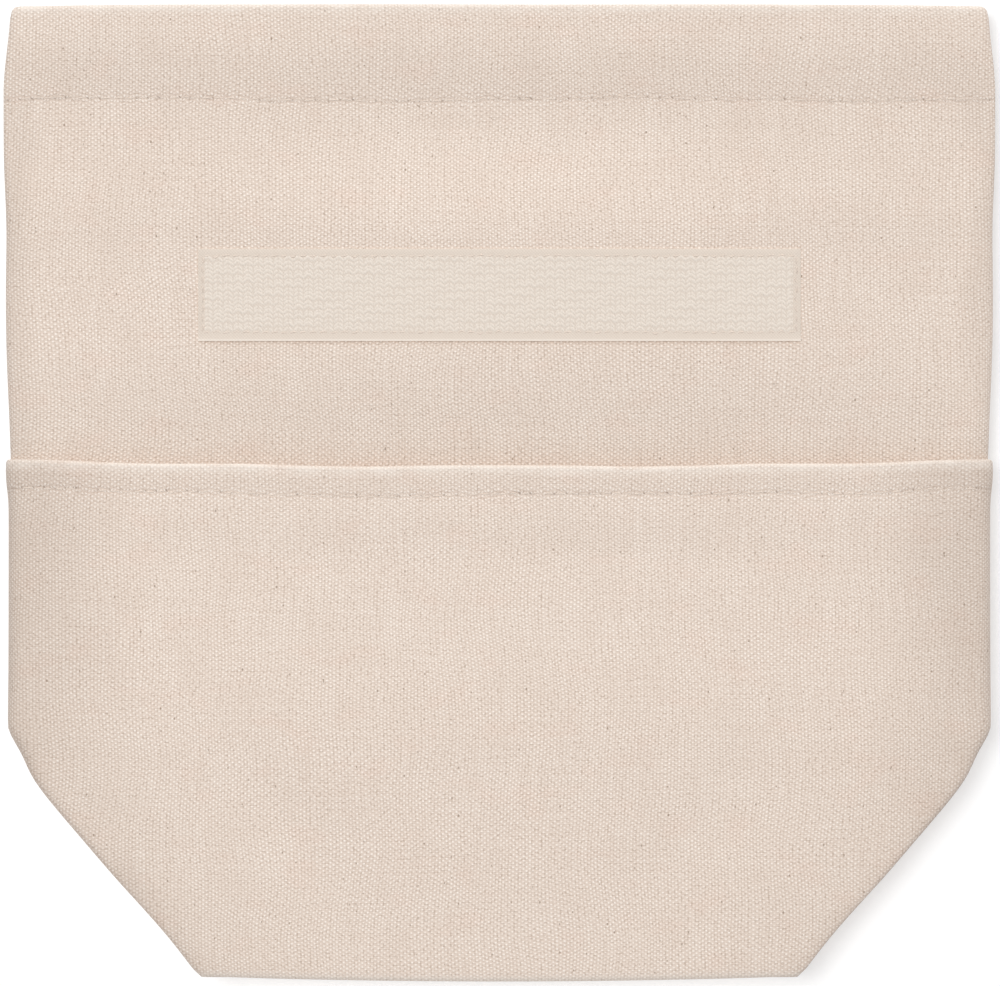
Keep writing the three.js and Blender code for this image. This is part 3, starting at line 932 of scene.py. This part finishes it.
# A fine woven band, lighter along its lower selvedge
def fineWeave(name, look, selvedge):
    material, tree, shader = newMaterial(name)
    across, along = axesOf(tree)
    turns = math.pi / look["pitch"]
    waves = [calc("COSINE", times(axis, turns)) for axis in (across, along)]
    crossing = times(*waves)
    uneven = times(patchy(across, along, 1.2, 6, 2, 7.0), look["uneven"])
    tone = calc("ADD", fromTo(crossing, -1, 1, 0.0, 0.7), uneven, clamp=True)
    colour = blendColour(tone, look["shade"], look["colour"])
    edge = fromTo(along, 0.2 - selvedge, 0.7 - selvedge, look["edgeStrength"], 0)
    dress(shader, blendColour(edge, colour, look["edge"]), crossing, look["bump"], look["roughness"])
    return material


def yarnFinish(name, colour, shade, fibre, rough=0.85, sheen=0.2):
    material, tree, shader = newMaterial(name)
    across, along = axesOf(tree)
    turned = calc("MULTIPLY_ADD", across, 2 * math.pi / fibre, times(along, 4))
    fibres = patchy(across, along, fibre, fibre / 3, 3, 2.0)
    tone = calc("MULTIPLY_ADD", calc("SINE", turned), 0.25, fibres, clamp=True)
    dress(shader, blendColour(tone, shade, colour), tone, 0.00004, rough, sheen=sheen)
    return material


foamLook = {
    "cell": srgb(214, 214, 208),
    "wall": srgb(240, 240, 235),
    "cellScale": 1.4,
    "bump": 0.0001,
    "roughness": 0.8,
}


def foamFinish():
    look = foamLook
    material, tree, shader = newMaterial("closedCellFoam")
    across, along = axesOf(tree)
    place = follow("CombineXYZ", {0: across, 1: along})
    cells = follow("TexVoronoi", {"Vector": place.outputs[0], "Scale": look["cellScale"]})
    tone = fromTo(cells.outputs["Distance"], 0.0, 0.7)
    dress(shader, blendColour(tone, look["cell"], look["wall"]), tone, look["bump"], look["roughness"])
    return material


# Wipe-clean lining: a coated cloth whose weave shows faintly through, with soft creases
liningLook = {
    "pitch": 0.45,
    "weave": 0.12,
    "creaseSizes": (9, 13),
    "shade": srgb(214, 214, 209),
    "colour": srgb(240, 240, 236),
    "bump": 0.0007,
    "bumpStrength": 0.6,
    "roughness": (0.34, 0.48),
}


def liningFinish():
    look = liningLook
    material, tree, shader = newMaterial("coatedLining")
    across, along = axesOf(tree)
    turns = math.pi / look["pitch"]
    waves = [calc("COSINE", times(axis, turns)) for axis in (across, along)]
    creases = patchy(across, along, *look["creaseSizes"], 4, 5.0)
    tone = calc("MULTIPLY_ADD", times(*waves), look["weave"], creases, clamp=True)
    rough = fromTo(creases, 0.3, 0.7, *look["roughness"])
    dress(shader, blendColour(tone, look["shade"], look["colour"]), creases, look["bump"], rough,
          strength=look["bumpStrength"])
    return material


# Floor, light and camera
studio = {
    "sky": 0.395,
    "skyColour": (0.97, 0.98, 1.0, 1),
    "paper": (0.85, 0.85, 0.85, 1),
    "paperGlow": 0.2,  # what brings the lit paper up to white for the camera
    "paperReach": 3.0,
    # How bright a white sheet on the floor looks by each softbox alone, where that stands, and its size
    "key": (0.37, (-1.1, 0.5, 3.0), 1.4),
    "fill": (0.26, (1.6, 4.4, 3.0), 1.8),
    "glow": (0.02, (0.3, -3.0, 0.6), 0.8),
    "frameWidth": 271.7,
    "lens": 110,
    "sensor": 36,
    "focusHeight": 8,
    "centre": (0.16, -0.8),
}


# 1 where the camera looks, straight or by way of gloss or glass
def seenByCamera(tree):
    path = addNode(tree, "LightPath", {}).outputs
    mirrored = calc("MAXIMUM", path["Is Glossy Ray"], path["Is Transmission Ray"])
    return calc("MAXIMUM", path["Is Camera Ray"], mirrored)


def layFloor():
    mesh = bpy.data.meshes.new("floor")
    reach = studio["paperReach"]
    corners = [(-reach, -reach, 0), (reach, -reach, 0), (reach, reach, 0), (-reach, reach, 0)]
    mesh.from_pydata(corners, [], [(0, 1, 2, 3)])
    floor = bpy.data.objects.new("floor", mesh)
    bpy.context.collection.objects.link(floor)
    floor.location.z = -0.0001
    material, tree, shader = newMaterial("palePaper")
    paper = addNode(tree, "BsdfDiffuse", {"Color": studio["paper"]})
    shine = addNode(tree, "Emission", {"Color": (1, 1, 1, 1), "Strength": studio["paperGlow"]})
    bright = follow("AddShader", {0: paper.outputs[0], 1: shine.outputs[0]})
    pick = follow("MixShader", {0: seenByCamera(tree), 1: paper.outputs[0], 2: bright.outputs[0]})
    tree.nodes.remove(shader)
    tree.links.new(pick.outputs[0], tree.nodes["Material Output"].inputs["Surface"])
    mesh.materials.append(material)


def lightStudio():
    world = bpy.data.worlds.new("studio")
    bpy.context.scene.world = world
    world.use_nodes = True
    tree = world.node_tree
    sky = tree.nodes["Background"]
    sky.inputs["Color"].default_value = studio["skyColour"]
    sky.inputs["Strength"].default_value = studio["sky"]
    white = addNode(tree, "Background", {"Color": (1, 1, 1, 1), "Strength": 1.0})
    pick = follow("MixShader", {0: seenByCamera(tree), 1: sky.outputs[0], 2: white.outputs[0]})
    tree.links.new(pick.outputs[0], tree.nodes["World Output"].inputs["Surface"])
    placeSoftbox("key", *studio["key"])
    placeSoftbox("fill", *studio["fill"]).use_shadow = False
    placeSoftbox("glow", *studio["glow"])


def placeSoftbox(name, bright, place, size):
    lamp = bpy.data.lights.new(name, "AREA")
    lamp.shape, lamp.size = "DISK", size
    place = Vector(place)
    lamp.energy = bright * math.pi**2 * place.length**3 / place.z
    softbox = bpy.data.objects.new(name, lamp)
    softbox.location = place
    softbox.rotation_euler = (-place).to_track_quat("-Z", "Y").to_euler()
    bpy.context.collection.objects.link(softbox)
    return lamp


def placeCamera():
    camera = bpy.data.cameras.new("camera")
    camera.lens, camera.sensor_width = studio["lens"], studio["sensor"]
    distance = studio["frameWidth"] * camera.lens / camera.sensor_width
    eye = bpy.data.objects.new("camera", camera)
    eye.location = Vector((*studio["centre"], distance + studio["focusHeight"])) * mm
    bpy.context.collection.objects.link(eye)
    bpy.context.scene.camera = eye
    bpy.context.scene.view_settings.view_transform = "Standard"


layFloor()
lightStudio()
placeCamera()
print("floor, light and camera are set")


# Canvas of the walls. Each wall is one cloth, cut for the script where the top rolls over.
wallMesh = {  # distances between the points of a wall's cloth
    "across": 1.35,
    "up": 2.0,
    "hidden": {front: 3.5, back: 2.4},  # up to the pocket's mouth
    "hiddenBelow": 128,
}
sideNames = {front: "front", back: "back"}
mouthFold = mouth - bag["hemPlies"] / 2 * (1 - math.pi / 2)


def bendAt(piece):
    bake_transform(piece)


backShape = dict(wallShape, mouthShade=0, tapeShade=0)
wallCloth = {
    front: duckCloth("frontDuck", duck, 0.0, stitchUp, wallShape, mouthFold),
    back: duckCloth("backDuck", duck, 9.0, stitchUp, backShape, mouthFold),
}
wallColumns = columns(wallMesh["across"])


# Which solids a cloth stands for: the lower part runs on over the roll
def standsFor(name, ply, part, upperBody="hem"):
    nodes = [f"{name}_{ply}", f"roll_{name}_{ply}"] if part == "lower" else [f"{upperBody}_{name}_{ply}"]
    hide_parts(*nodes)


def sewWall(side, part, rows):
    rows, name = stack(rows), sideNames[side]
    outer, inner = (wallGrid(side, rows, wallColumns, off) for off in (0, bag["canvas"]))
    grain = grainOf(wallGrid(side, rows, wallColumns, 0, 0), rows)
    piece = sewSheet(f"{name}_wall_{part}", outer, inner, grain, wallCloth[side], fromSeam(grain))
    bendAt(piece)
    standsFor(name, "canvas", part)


def sewWalls():
    top, plies, pitch = mouth - bag["hemPlies"] / 2, bag["hemPlies"], wallMesh["up"]
    for side in sideNames:
        hidden, shownFrom = wallMesh["hidden"][side], wallMesh["hiddenBelow"]
        lower = lipRows() + plainRows(bag["edge"], shownFrom, hidden)
        lower += plainRows(shownFrom, rollMiddle, pitch)[1:]
        upper = finerNear(stitchUp, rollMiddle, top, pitch)
        upper += hemRows(mouth, plies) + facingRows(top, mouth - bag["hem"], plies)[1:]
        sewWall(side, "lower", lower)
        sewWall(side, "upper", upper)


# Foam, cut a little smaller than the canvas, and skived thin where it ends at the hem
foam = foamFinish()
innerMesh = {  # distances between the points of the plies inside
    "up": 3,
    "foamAcross": 6,
    "liningAcross": 5,
    "liningEdge": 5,  # steps round its edge
    "panelAcross": 2.7,
    "baseAcross": 6,
}


def foamDepths(up):
    outer = bag["canvas"] + bag["plyGap"]
    return outer, liningDepth(up) - bag["plyGap"]


def liningDepth(up):
    hemDepth = bag["canvas"] + bag["plyGap"]
    return between(bag["wall"] - bag["lining"], hemDepth, towardsHem(up))


def flatGrid(side, rows, cols, depth, shape):
    up = rows["start"]
    x = acrossAt(cols, up, 0)
    z = wallFace(side, x, up, shape) - side * depth
    return asGrid(x, lengthways(up, cols), z)


def cutFoam():
    cols = columns(innerMesh["foamAcross"], inset=bag["foamInset"])
    parts = (("lower", bag["edge"], rollMiddle), ("upper", rollMiddle, firstFold - bag["foamEnd"]))
    for side, name in sideNames.items():
        for part, low, high in parts:
            rows = stack(plainRows(low, high, innerMesh["up"]))
            up = rows["start"]
            outer, inner = foamDepths(up)
            outside = flatGrid(side, rows, cols, outer, 1)
            inside = flatGrid(side, rows, cols, inner, clearOfBase(up))
            piece = sewSheet(f"{name}_foam_{part}", outside, inside, grainOf(inside, rows), foam)
            bendAt(piece)
            standsFor(name, "foam", part, "roll")


# Lining. Beside the base fold its edge ends above the canvas that lies between.
lining = liningFinish()


def liningGrid(side, rows, cols, off):
    up = rows["start"]
    x = acrossAt(cols, up, off)
    baseCanvas = bag["canvas"] + bag["liningClear"] + groove
    foldClear = baseCanvas * (1 - ease(up, ridge + bag["wall"], cornerTop))
    edge = frontTop(up) / 2 + side * np.maximum(lipGap(up) + bag["liningLip"], foldClear)
    depth = liningDepth(up) + off - bag["wall"] + bag["lining"]
    face = wallFace(side, x, up, clearOfBase(up)) - side * depth
    z = between(edge, face, fullerLow(cols["rise"], up))
    return asGrid(x, lengthways(up, cols), z)


def sewLinings():
    thin = bag["wall"] - bag["lining"]
    cols = columns(innerMesh["liningAcross"], steps=innerMesh["liningEdge"], sewn=False)
    parts = (("lower", bag["edge"], rollMiddle), ("upper", rollMiddle, mouth - bag["hemPlies"]))
    for side, name in sideNames.items():
        for part, low, high in parts:
            rows = stack(plainRows(low, high, innerMesh["up"]))
            outer, inner = (liningGrid(side, rows, cols, off) for off in (thin, bag["wall"]))
            grain = grainOf(outer, rows)
            piece = sewSheet(f"{name}_lining_{part}", outer, inner, grain, lining)
            bendAt(piece)
            standsFor(name, "lining", part)


cutFoam()
sewWalls()
sewLinings()
print("walls are sewn, padded and lined")


# Base, folded up between the walls
baseFold = {
    "turnSteps": 8,
    "turnGrain": 0.4,  # cloth from step to step, and all round the turn
    "turnLong": 3,
    "lipClear": 0.05,
    "lipRoll": 0.3,  # the roll of its lips, as a share of the room between the walls' lips
    "padInset": 4,
    "pad": (1.0, 3.0),  # depths of the foam below the canvas's outer face
    "liningInset": 3,
}


def baseGrid(rows, cols, off, half=None):
    up, depth = rowsAt(rows, off)
    x = acrossAt(cols, up, off) if half is None else cols["share"] * half(up)
    rim = np.maximum(lipGap(up) - baseFold["lipClear"], baseFold["lipClear"])
    roll = np.minimum(bag["seamRoll"], baseFold["lipRoll"] * rim)
    turn = roll - (roll - np.minimum(off, roll)) * np.maximum(rows["drop"], cols["drop"])
    height = between(rim - turn, groove + depth, rows["rise"] * fullerLow(cols["rise"], up))
    z = frontTop(up) / 2 + rows["arm"] * height
    return asGrid(x, lengthways(up, cols), z)


def baseRows(withLip):
    leg = (lipRows() if withLip else []) + plainRows(bag["edge"], ridge, innerMesh["up"])
    steps, long = baseFold["turnSteps"], 2 * ridge + baseFold["turnLong"]
    turn = []
    for k in range(1, steps):
        a = math.pi * (0.5 - k / steps)
        grain = ridge + baseFold["turnGrain"] * k
        turn.append(dict(row(ridge, grain, -groove, -math.cos(a)), arm=math.sin(a)))
    backLeg = [dict(r, arm=-1, grain=long - r["grain"]) for r in leg[::-1]]
    return stack([dict(r, arm=1) for r in leg] + turn + backLeg)


def padHalf(up):
    return baseHalf - baseFold["padInset"] + 0 * up


def liningHalf(up):
    return halfWidth(up) - bag["edge"] - baseFold["liningInset"]


def foldPly(name, node, material, depths, half=None):
    rows = baseRows(withLip=half is None)
    cols = columns(innerMesh["baseAcross"], inset=1) if half else columns(innerMesh["panelAcross"])
    outer, inner = (baseGrid(rows, cols, off, half) for off in depths)
    grain = grainOf(outer, rows)
    piece = sewSheet(name, outer, inner, grain, material, fromSeam(grain))
    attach(piece, "root")
    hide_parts(node)


def sewBase():
    thin = bag["wall"] - bag["lining"]
    foldPly("base_panel", "base_canvas", wallCloth[back], (0, bag["canvas"]))
    foldPly("base_pad", "base_foam", foam, baseFold["pad"], padHalf)
    foldPly("base_lining_sheet", "base_lining", lining, (thin, bag["wall"]), liningHalf)


sewBase()
print("base is folded in")

# Pocket, sewn into the side seams and the bottom seam
pocketSwell = settleCloth("pocketSwell", bag["edge"], pocketLook["height"], pocketLook["height"], 21)
pocketStitch = pocketLook["height"] - pocketLook["hemStitch"]
pocketFold = pocketLook["height"] - pocketLook["plies"] / 2 * (1 - math.pi / 2)
pocketCloth = duckCloth("pocketDuck", duck, 31.0, pocketStitch, pocketLook, pocketFold)


def pocketRelief(x, up):
    look = pocketLook
    middle = hump(x, 0, look["crownWidth"])
    swell = look["swell"] * swellAt(pocketSwell, x, up)
    swell = swell + look["crown"] * (1 - ease(up, *look["crownReach"])) * middle
    swell = swell - wave(look["height"] - up, *look["dipBelowHem"]) * middle
    atCorner = wave(np.abs(x) - look["cornerDipLean"] * up, *look["cornerDip"])
    swell = swell - atCorner * wave(up, *look["cornerDipAt"])
    return swell - sideFall(up) * besideSeam(x, up) - stitchDip(x, up - pocketStitch, look)


def pocketTop(up):
    low = baseThick + bag["restGap"] + bag["canvas"]
    return between(low, pocketLook["mouthTop"], ease(up, *pocketLook["mouthTopFrom"]))


def pocketDip(share, up):
    look, away = pocketLook, np.abs(share)
    dip = look["dip"] * (1 - ease(away, *look["dipReach"]))
    dip = dip + look["slack"] * (1 - ease(away, *look["slackReach"])) + wave(away, *look["droop"])
    return dip * ease(up, cornerTop, look["height"])


def pocketGrid(rows, cols, off, shape=1):
    look = pocketLook
    up, depth = rowsAt(rows, off)
    hemEnd, reach = look["height"] - look["hem"], look["flareReach"]
    flare = look["flare"] * ease(up, hemEnd - reach, hemEnd + reach)
    flare = flare - look["foldFlare"] * ease(up, hemEnd + look["foldFlareFrom"], look["height"])
    x = acrossAt(cols, up, depth, flare)
    roll = bag["canvas"]
    turn = roll - (roll - np.minimum(depth, roll)) * np.maximum(rows["drop"], cols["drop"])
    seam = frontTop(up) / 2 + lipGap(up) + look["seamGap"] + turn
    face = pocketTop(up) + shape * pocketRelief(x, up) - depth
    z = between(seam, face, rows["rise"] * fullerLow(cols["rise"], up))
    return asGrid(x, lengthways(up, cols) - pocketDip(cols["share"], up), z)


def openAt(piece):
    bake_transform(piece)


def sewPocket():
    look = pocketLook
    top = look["height"] - look["plies"] / 2
    rows = lipRows(proud=look["proud"]) + finerNear(pocketStitch, bag["edge"], top, wallMesh["up"])
    rows += hemRows(look["height"], look["plies"])
    rows += facingRows(top, look["height"] - look["hem"], look["plies"], 1.5)[1:]
    rows, cols = stack(rows), columns(wallMesh["across"], proud=look["proud"])
    outer, inner = (pocketGrid(rows, cols, off) for off in (0, bag["canvas"]))
    grain = grainOf(pocketGrid(rows, cols, 0, 0), rows)
    seamMap = fromSeam(grain)
    middle = outer.shape[1] // 2
    for name, side, part in (("left", -1, slice(0, middle + 1)), ("right", 1, slice(middle, None))):
        half = [grid[:, part] for grid in (outer, inner, grain)]
        piece = sewSheet("pocket_" + name, *half, pocketCloth, seamMap[:, part])
        openAt(piece)
        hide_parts("pocket_panel")


sewPocket()
print("pocket is sewn on")

# Hook-and-loop tape: a woven band with a plain border, sewn on all round
tapeWide = (boxInMm("loop_tape")[1].y - boxInMm("loop_tape")[0].y) / 2
tapeLook = {
    "band": 0.5,
    "points": (110, 36),
    "lift": 0.05,  # between the tape and the canvas
    "roundedEdge": (0.4, 0.35),  # how far its edges fall, as a share of the band, and how softly
    "curl": 0.55,  # how far its lower edge stands off the canvas
    "curlReach": 0.8,
    "upperBorder": 1.9,
    "lowerBorder": 2.25,
    "endBorder": 1.2,
    "pileWave": 1.36,  # width of one slope of a chevron
    "pileRow": 1.17,
    "pileSwing": 1.1,  # how far a chevron rises
    "pileRadius": 0.6,
    "pileFlat": 0.24,
    "pileClear": 0.4,
    "pileEnd": 0.6,
    "pileUneven": 0.05,
    "pileSways": ((0.12, 5.3, 2.4), (0.1, 2.1, -1)),  # size, length across, and how it shifts up the tape
    "pileSink": (0.04, 0.12),  # everywhere, and where a yarn turns
    "pileThin": 0.3,  # how much thinner it is there
    "hookPitch": (1.9, 1.25),
    "hookEnds": (2.0, 2.4),
    "hookTall": 0.8,
    "hookLean": 1.5,
    "hookRadius": 0.11,
    "stitchPitch": 2.65,
}
bandWeave = {
    "pitch": 0.42,
    "colour": srgb(227, 214, 201),
    "shade": srgb(215, 201, 187),
    "uneven": 0.4,
    "edge": srgb(245, 235, 224),
    "edgeStrength": 0.5,
    "bump": 0.00002,
    "roughness": 0.9,
}
bandCloth = fineWeave("tapeBand", bandWeave, tapeWide)
pileYarn = yarnFinish("loopPile", srgb(234, 223, 211), srgb(225, 213, 200), 0.9)
hookPlastic = yarnFinish("hookBristle", srgb(236, 229, 218), srgb(216, 206, 193), 2.0, rough=0.45, sheen=0.0)


# A point on the tape: x across the bag, v up the tape from its middle, h above the canvas
def onTape(node, x, v, h):
    low, high = boxInMm(node)
    side = front if node == "loop_tape" else back
    up = (low.y + high.y) / 2 - bottom + v
    z = wallFace(side, x, up) + side * (tapeLook["lift"] + h)
    return asGrid(x, up + bottom, z)


def tapeSize(node):
    low, high = boxInMm(node)
    return high.x, (high.y - low.y) / 2


def weaveBand(node, name, body):
    look = tapeLook
    halfLong, halfWide = tapeSize(node)
    x = np.linspace(-halfLong, halfLong, look["points"][0])[None]
    v = np.linspace(-halfWide, halfWide, look["points"][1])[:, None]
    fall, softness = look["roundedEdge"]
    rounded = np.exp((np.abs(v) - halfWide) / softness) + np.exp((np.abs(x) - halfLong) / softness)
    face = look["band"] * (1 - fall * rounded.clip(0, 1))
    curl = look["curl"] * np.exp(-(v + halfWide) / look["curlReach"])
    outer, inner = (onTape(node, x, v, h + curl) for h in (face, 0.0 * v))
    grain = asGrid(x, v)
    piece = sewSheet(name, outer, inner, grain, bandCloth)
    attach(piece, body)
    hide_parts(node)


# The pile: rows of looped yarn that zigzag side by side
def raisePile(node, name, body):
    look = tapeLook
    halfLong, halfWide = tapeSize(node)
    rng = np.random.default_rng(5)
    reach = look["pileClear"] + look["pileSwing"] / 2
    low, high = look["lowerBorder"] - halfWide + reach, halfWide - look["upperBorder"] - reach
    end = halfLong - look["endBorder"] - look["pileEnd"]
    v = np.linspace(low, high, round((high - low) / look["pileRow"]) + 1)[:, None]
    x = np.arange(-end, end, look["pileWave"] / 3)[None]
    zigzag = np.abs((x / look["pileWave"] / 2) % 1 - 0.5) * 2  # from 0 to 1
    turning = np.abs(2 * zigzag - 1) ** 3
    jitter = rng.normal(0, look["pileUneven"], (len(v), x.shape[1]))
    for size, length, shift in look["pileSways"]:
        jitter = jitter + size * np.sin(x / length + shift * v)
    everywhere, atTurn = look["pileSink"]
    height = look["band"] - everywhere - atTurn * turning + 0.15 * jitter
    middle = onTape(node, x + 0 * v, v + (zigzag - 0.5) * look["pileSwing"] + jitter, height)
    uneven = rng.normal(0, look["pileUneven"], jitter.shape)
    radius = look["pileRadius"] * (1 - look["pileThin"] * turning + uneven)
    beside, away = np.array([0, 1.0, 0]), np.array([0, 0, look["pileFlat"]])
    piece = spinThreads(name, middle, beside, away, radius, pileYarn, 8)
    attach(piece, body)
    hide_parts(node)


# The hooks: short bristles bent over at the top
def raiseHooks(node, name, body):
    look = tapeLook
    halfLong, halfWide = tapeSize(node)
    (acrossPitch, upPitch), (end, lowEnd) = look["hookPitch"], look["hookEnds"]
    xs = np.arange(-halfLong + end, halfLong - end, acrossPitch)
    vs = np.arange(-halfWide + lowEnd, halfWide - end, upPitch)
    x, v = (g.reshape(-1, 1) for g in np.meshgrid(xs, vs))
    x = x + 0.5 * acrossPitch * (np.round((v - vs[0]) / upPitch) % 2)
    lean = np.array([0, 0, 0.05, 0.16, 0.22, 0.2])[None] * look["hookLean"]
    tall = np.array([-0.1, 0.2, 0.42, 0.5, 0.42, 0.3])[None] * look["hookTall"]
    middle = onTape(node, x + lean, v + 0 * lean, look["band"] + tall)
    beside, away = np.array([0, 1.0, 0]), np.array([1.0, 0, 0])
    piece = spinThreads(name, middle, beside, away, look["hookRadius"], hookPlastic, 4)
    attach(piece, body)
    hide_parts(node)


# Stitching: short threads from hole to hole, each a little slanted, that dip into the cloth at both ends
thread = {
    "radius": 0.22,
    "points": 7,
    "thinEnds": 0.75,
    "proud": 0.05,
    "proudSpread": (-1.0, 1.3),
    "sink": 0.3,
    "gap": 0.1,  # clear of the hole at either end
    "slant": 0.25,
    "slantSpread": 0.5,
    "bow": 0.5,  # how far a slack stitch swings to the side
    "bowSpread": (0.6, 0.7),
    "longest": 5,
}
threadYarn = yarnFinish("sewingThread", srgb(232, 218, 205), srgb(214, 198, 184), 0.7)


def sewStitches(name, holes, away, seed):
    rng = np.random.default_rng(seed)
    start, run = holes[:-1], np.diff(holes, axis=0)
    length = np.linalg.norm(run, axis=1)[:, None]
    keep = length[:, 0] < thread["longest"]
    start, run, length = start[keep], run[keep], length[keep]
    along = run / length
    away = np.broadcast_to(np.array(away, float), along.shape)
    beside = np.cross(away, along)
    t = np.linspace(0, 1, thread["points"])
    arch = np.sqrt(np.sin(math.pi * t).clip(0))
    each = (len(start), 1)
    reach = thread["gap"] + t * (length - 2 * thread["gap"])
    lean = thread["slant"] * (1 + rng.normal(0, thread["slantSpread"], each)) * (t - 0.5)
    lean = lean + thread["bow"] * rng.normal(*thread["bowSpread"], each) * (np.sin(math.pi * t) - 0.5)
    proud = thread["proud"] * rng.uniform(*thread["proudSpread"], each)
    lift = (proud + thread["sink"]) * arch - thread["sink"]
    middle = start[:, None] + reach[:, :, None] * along[:, None]
    middle = middle + lean[:, :, None] * beside[:, None] + lift[:, :, None] * away[:, None]
    radius = thread["radius"] * (thread["thinEnds"] + (1 - thread["thinEnds"]) * arch)
    piece = spinThreads(name, middle, beside[:, None], away[:, None], radius, threadYarn)
    return piece


def holesAcross(low, high, pitch):
    holes = np.arange(math.ceil(low / pitch), math.floor(high / pitch) + 1) * pitch
    return holes - swingOf(holes, stitching["drift"])


def sewHemStitches():
    reach = float(halfWidth(stitchUp)) - wallShape["stitchEnd"]
    x = holesAcross(-reach, reach, wallShape["stitchPitch"])
    underTape = np.abs(x) <= tapeSize("hook_tape")[0]
    for side, name in sideNames.items():
        for where, depth, facing in (("outer", 0, side), ("inner", bag["hemPlies"], -side)):
            xs = x[~underTape] if side == back and where == "outer" else x
            up = stitchUp + stitchLine(xs, wallShape)
            holes = np.stack([xs, up + bottom, wallFace(side, xs, up) - side * depth], -1)
            piece = sewStitches(f"{name}_hem_stitches_{where}", holes, (0, 0, facing), 2)
            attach(piece, "hem_band")


def sewPocketStitches():
    look = pocketLook
    x = holesAcross(0, bag["halfWidth"] - look["stitchEnd"], look["stitchPitch"])
    for side, name in ((-1, "left"), (1, "right")):
        for where, depth, facing in (("outer", 0, 1), ("inner", look["plies"], -1)):
            xs = side * x
            up = pocketStitch + stitchLine(xs, look)
            z = pocketTop(up) + pocketRelief(xs, up) - depth
            y = up - pocketDip(xs / (bag["halfWidth"] - bag["edge"]), up) + bottom
            holes = np.stack([xs, y, z], -1)
            piece = sewStitches(f"pocket_stitches_{name}_{where}", holes, (0, 0, facing), 3)
            openAt(piece)


def sewTape(node, body):
    look = tapeLook
    halfLong, halfWide = tapeSize(node)
    right = halfLong - look["endBorder"]
    low, high = look["lowerBorder"] - halfWide, halfWide - look["upperBorder"]
    pitch = look["stitchPitch"]
    x = np.linspace(-right, right, round(2 * right / pitch) + 1)
    x[1:-1] -= swingOf(x[1:-1], stitching["drift"])
    v = np.linspace(low, high, round((high - low) / pitch) + 1)
    corners = [(x, low + 0 * x), (right + 0 * v, v), (x[::-1], high + 0 * x), (-right + 0 * v, v[::-1])]
    path = np.concatenate([np.stack(side, -1)[:-1] for side in corners] + [[[-right, low]]])
    holes = onTape(node, path[:, 0], path[:, 1], look["band"])
    piece = sewStitches(node + "_stitches", holes, (0, 0, front if node == "loop_tape" else back), 4)
    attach(piece, body)


def sewTapes():
    weaveBand("loop_tape", "loop_band", "root")
    raisePile("loop_tape", "loop_pile", "root")
    sewTape("loop_tape", "root")
    weaveBand("hook_tape", "hook_band", "hem_band")
    raiseHooks("hook_tape", "hook_bristles", "hem_band")
    sewTape("hook_tape", "hem_band")


sewHemStitches()
sewPocketStitches()
sewTapes()
print("tapes and stitching are on")
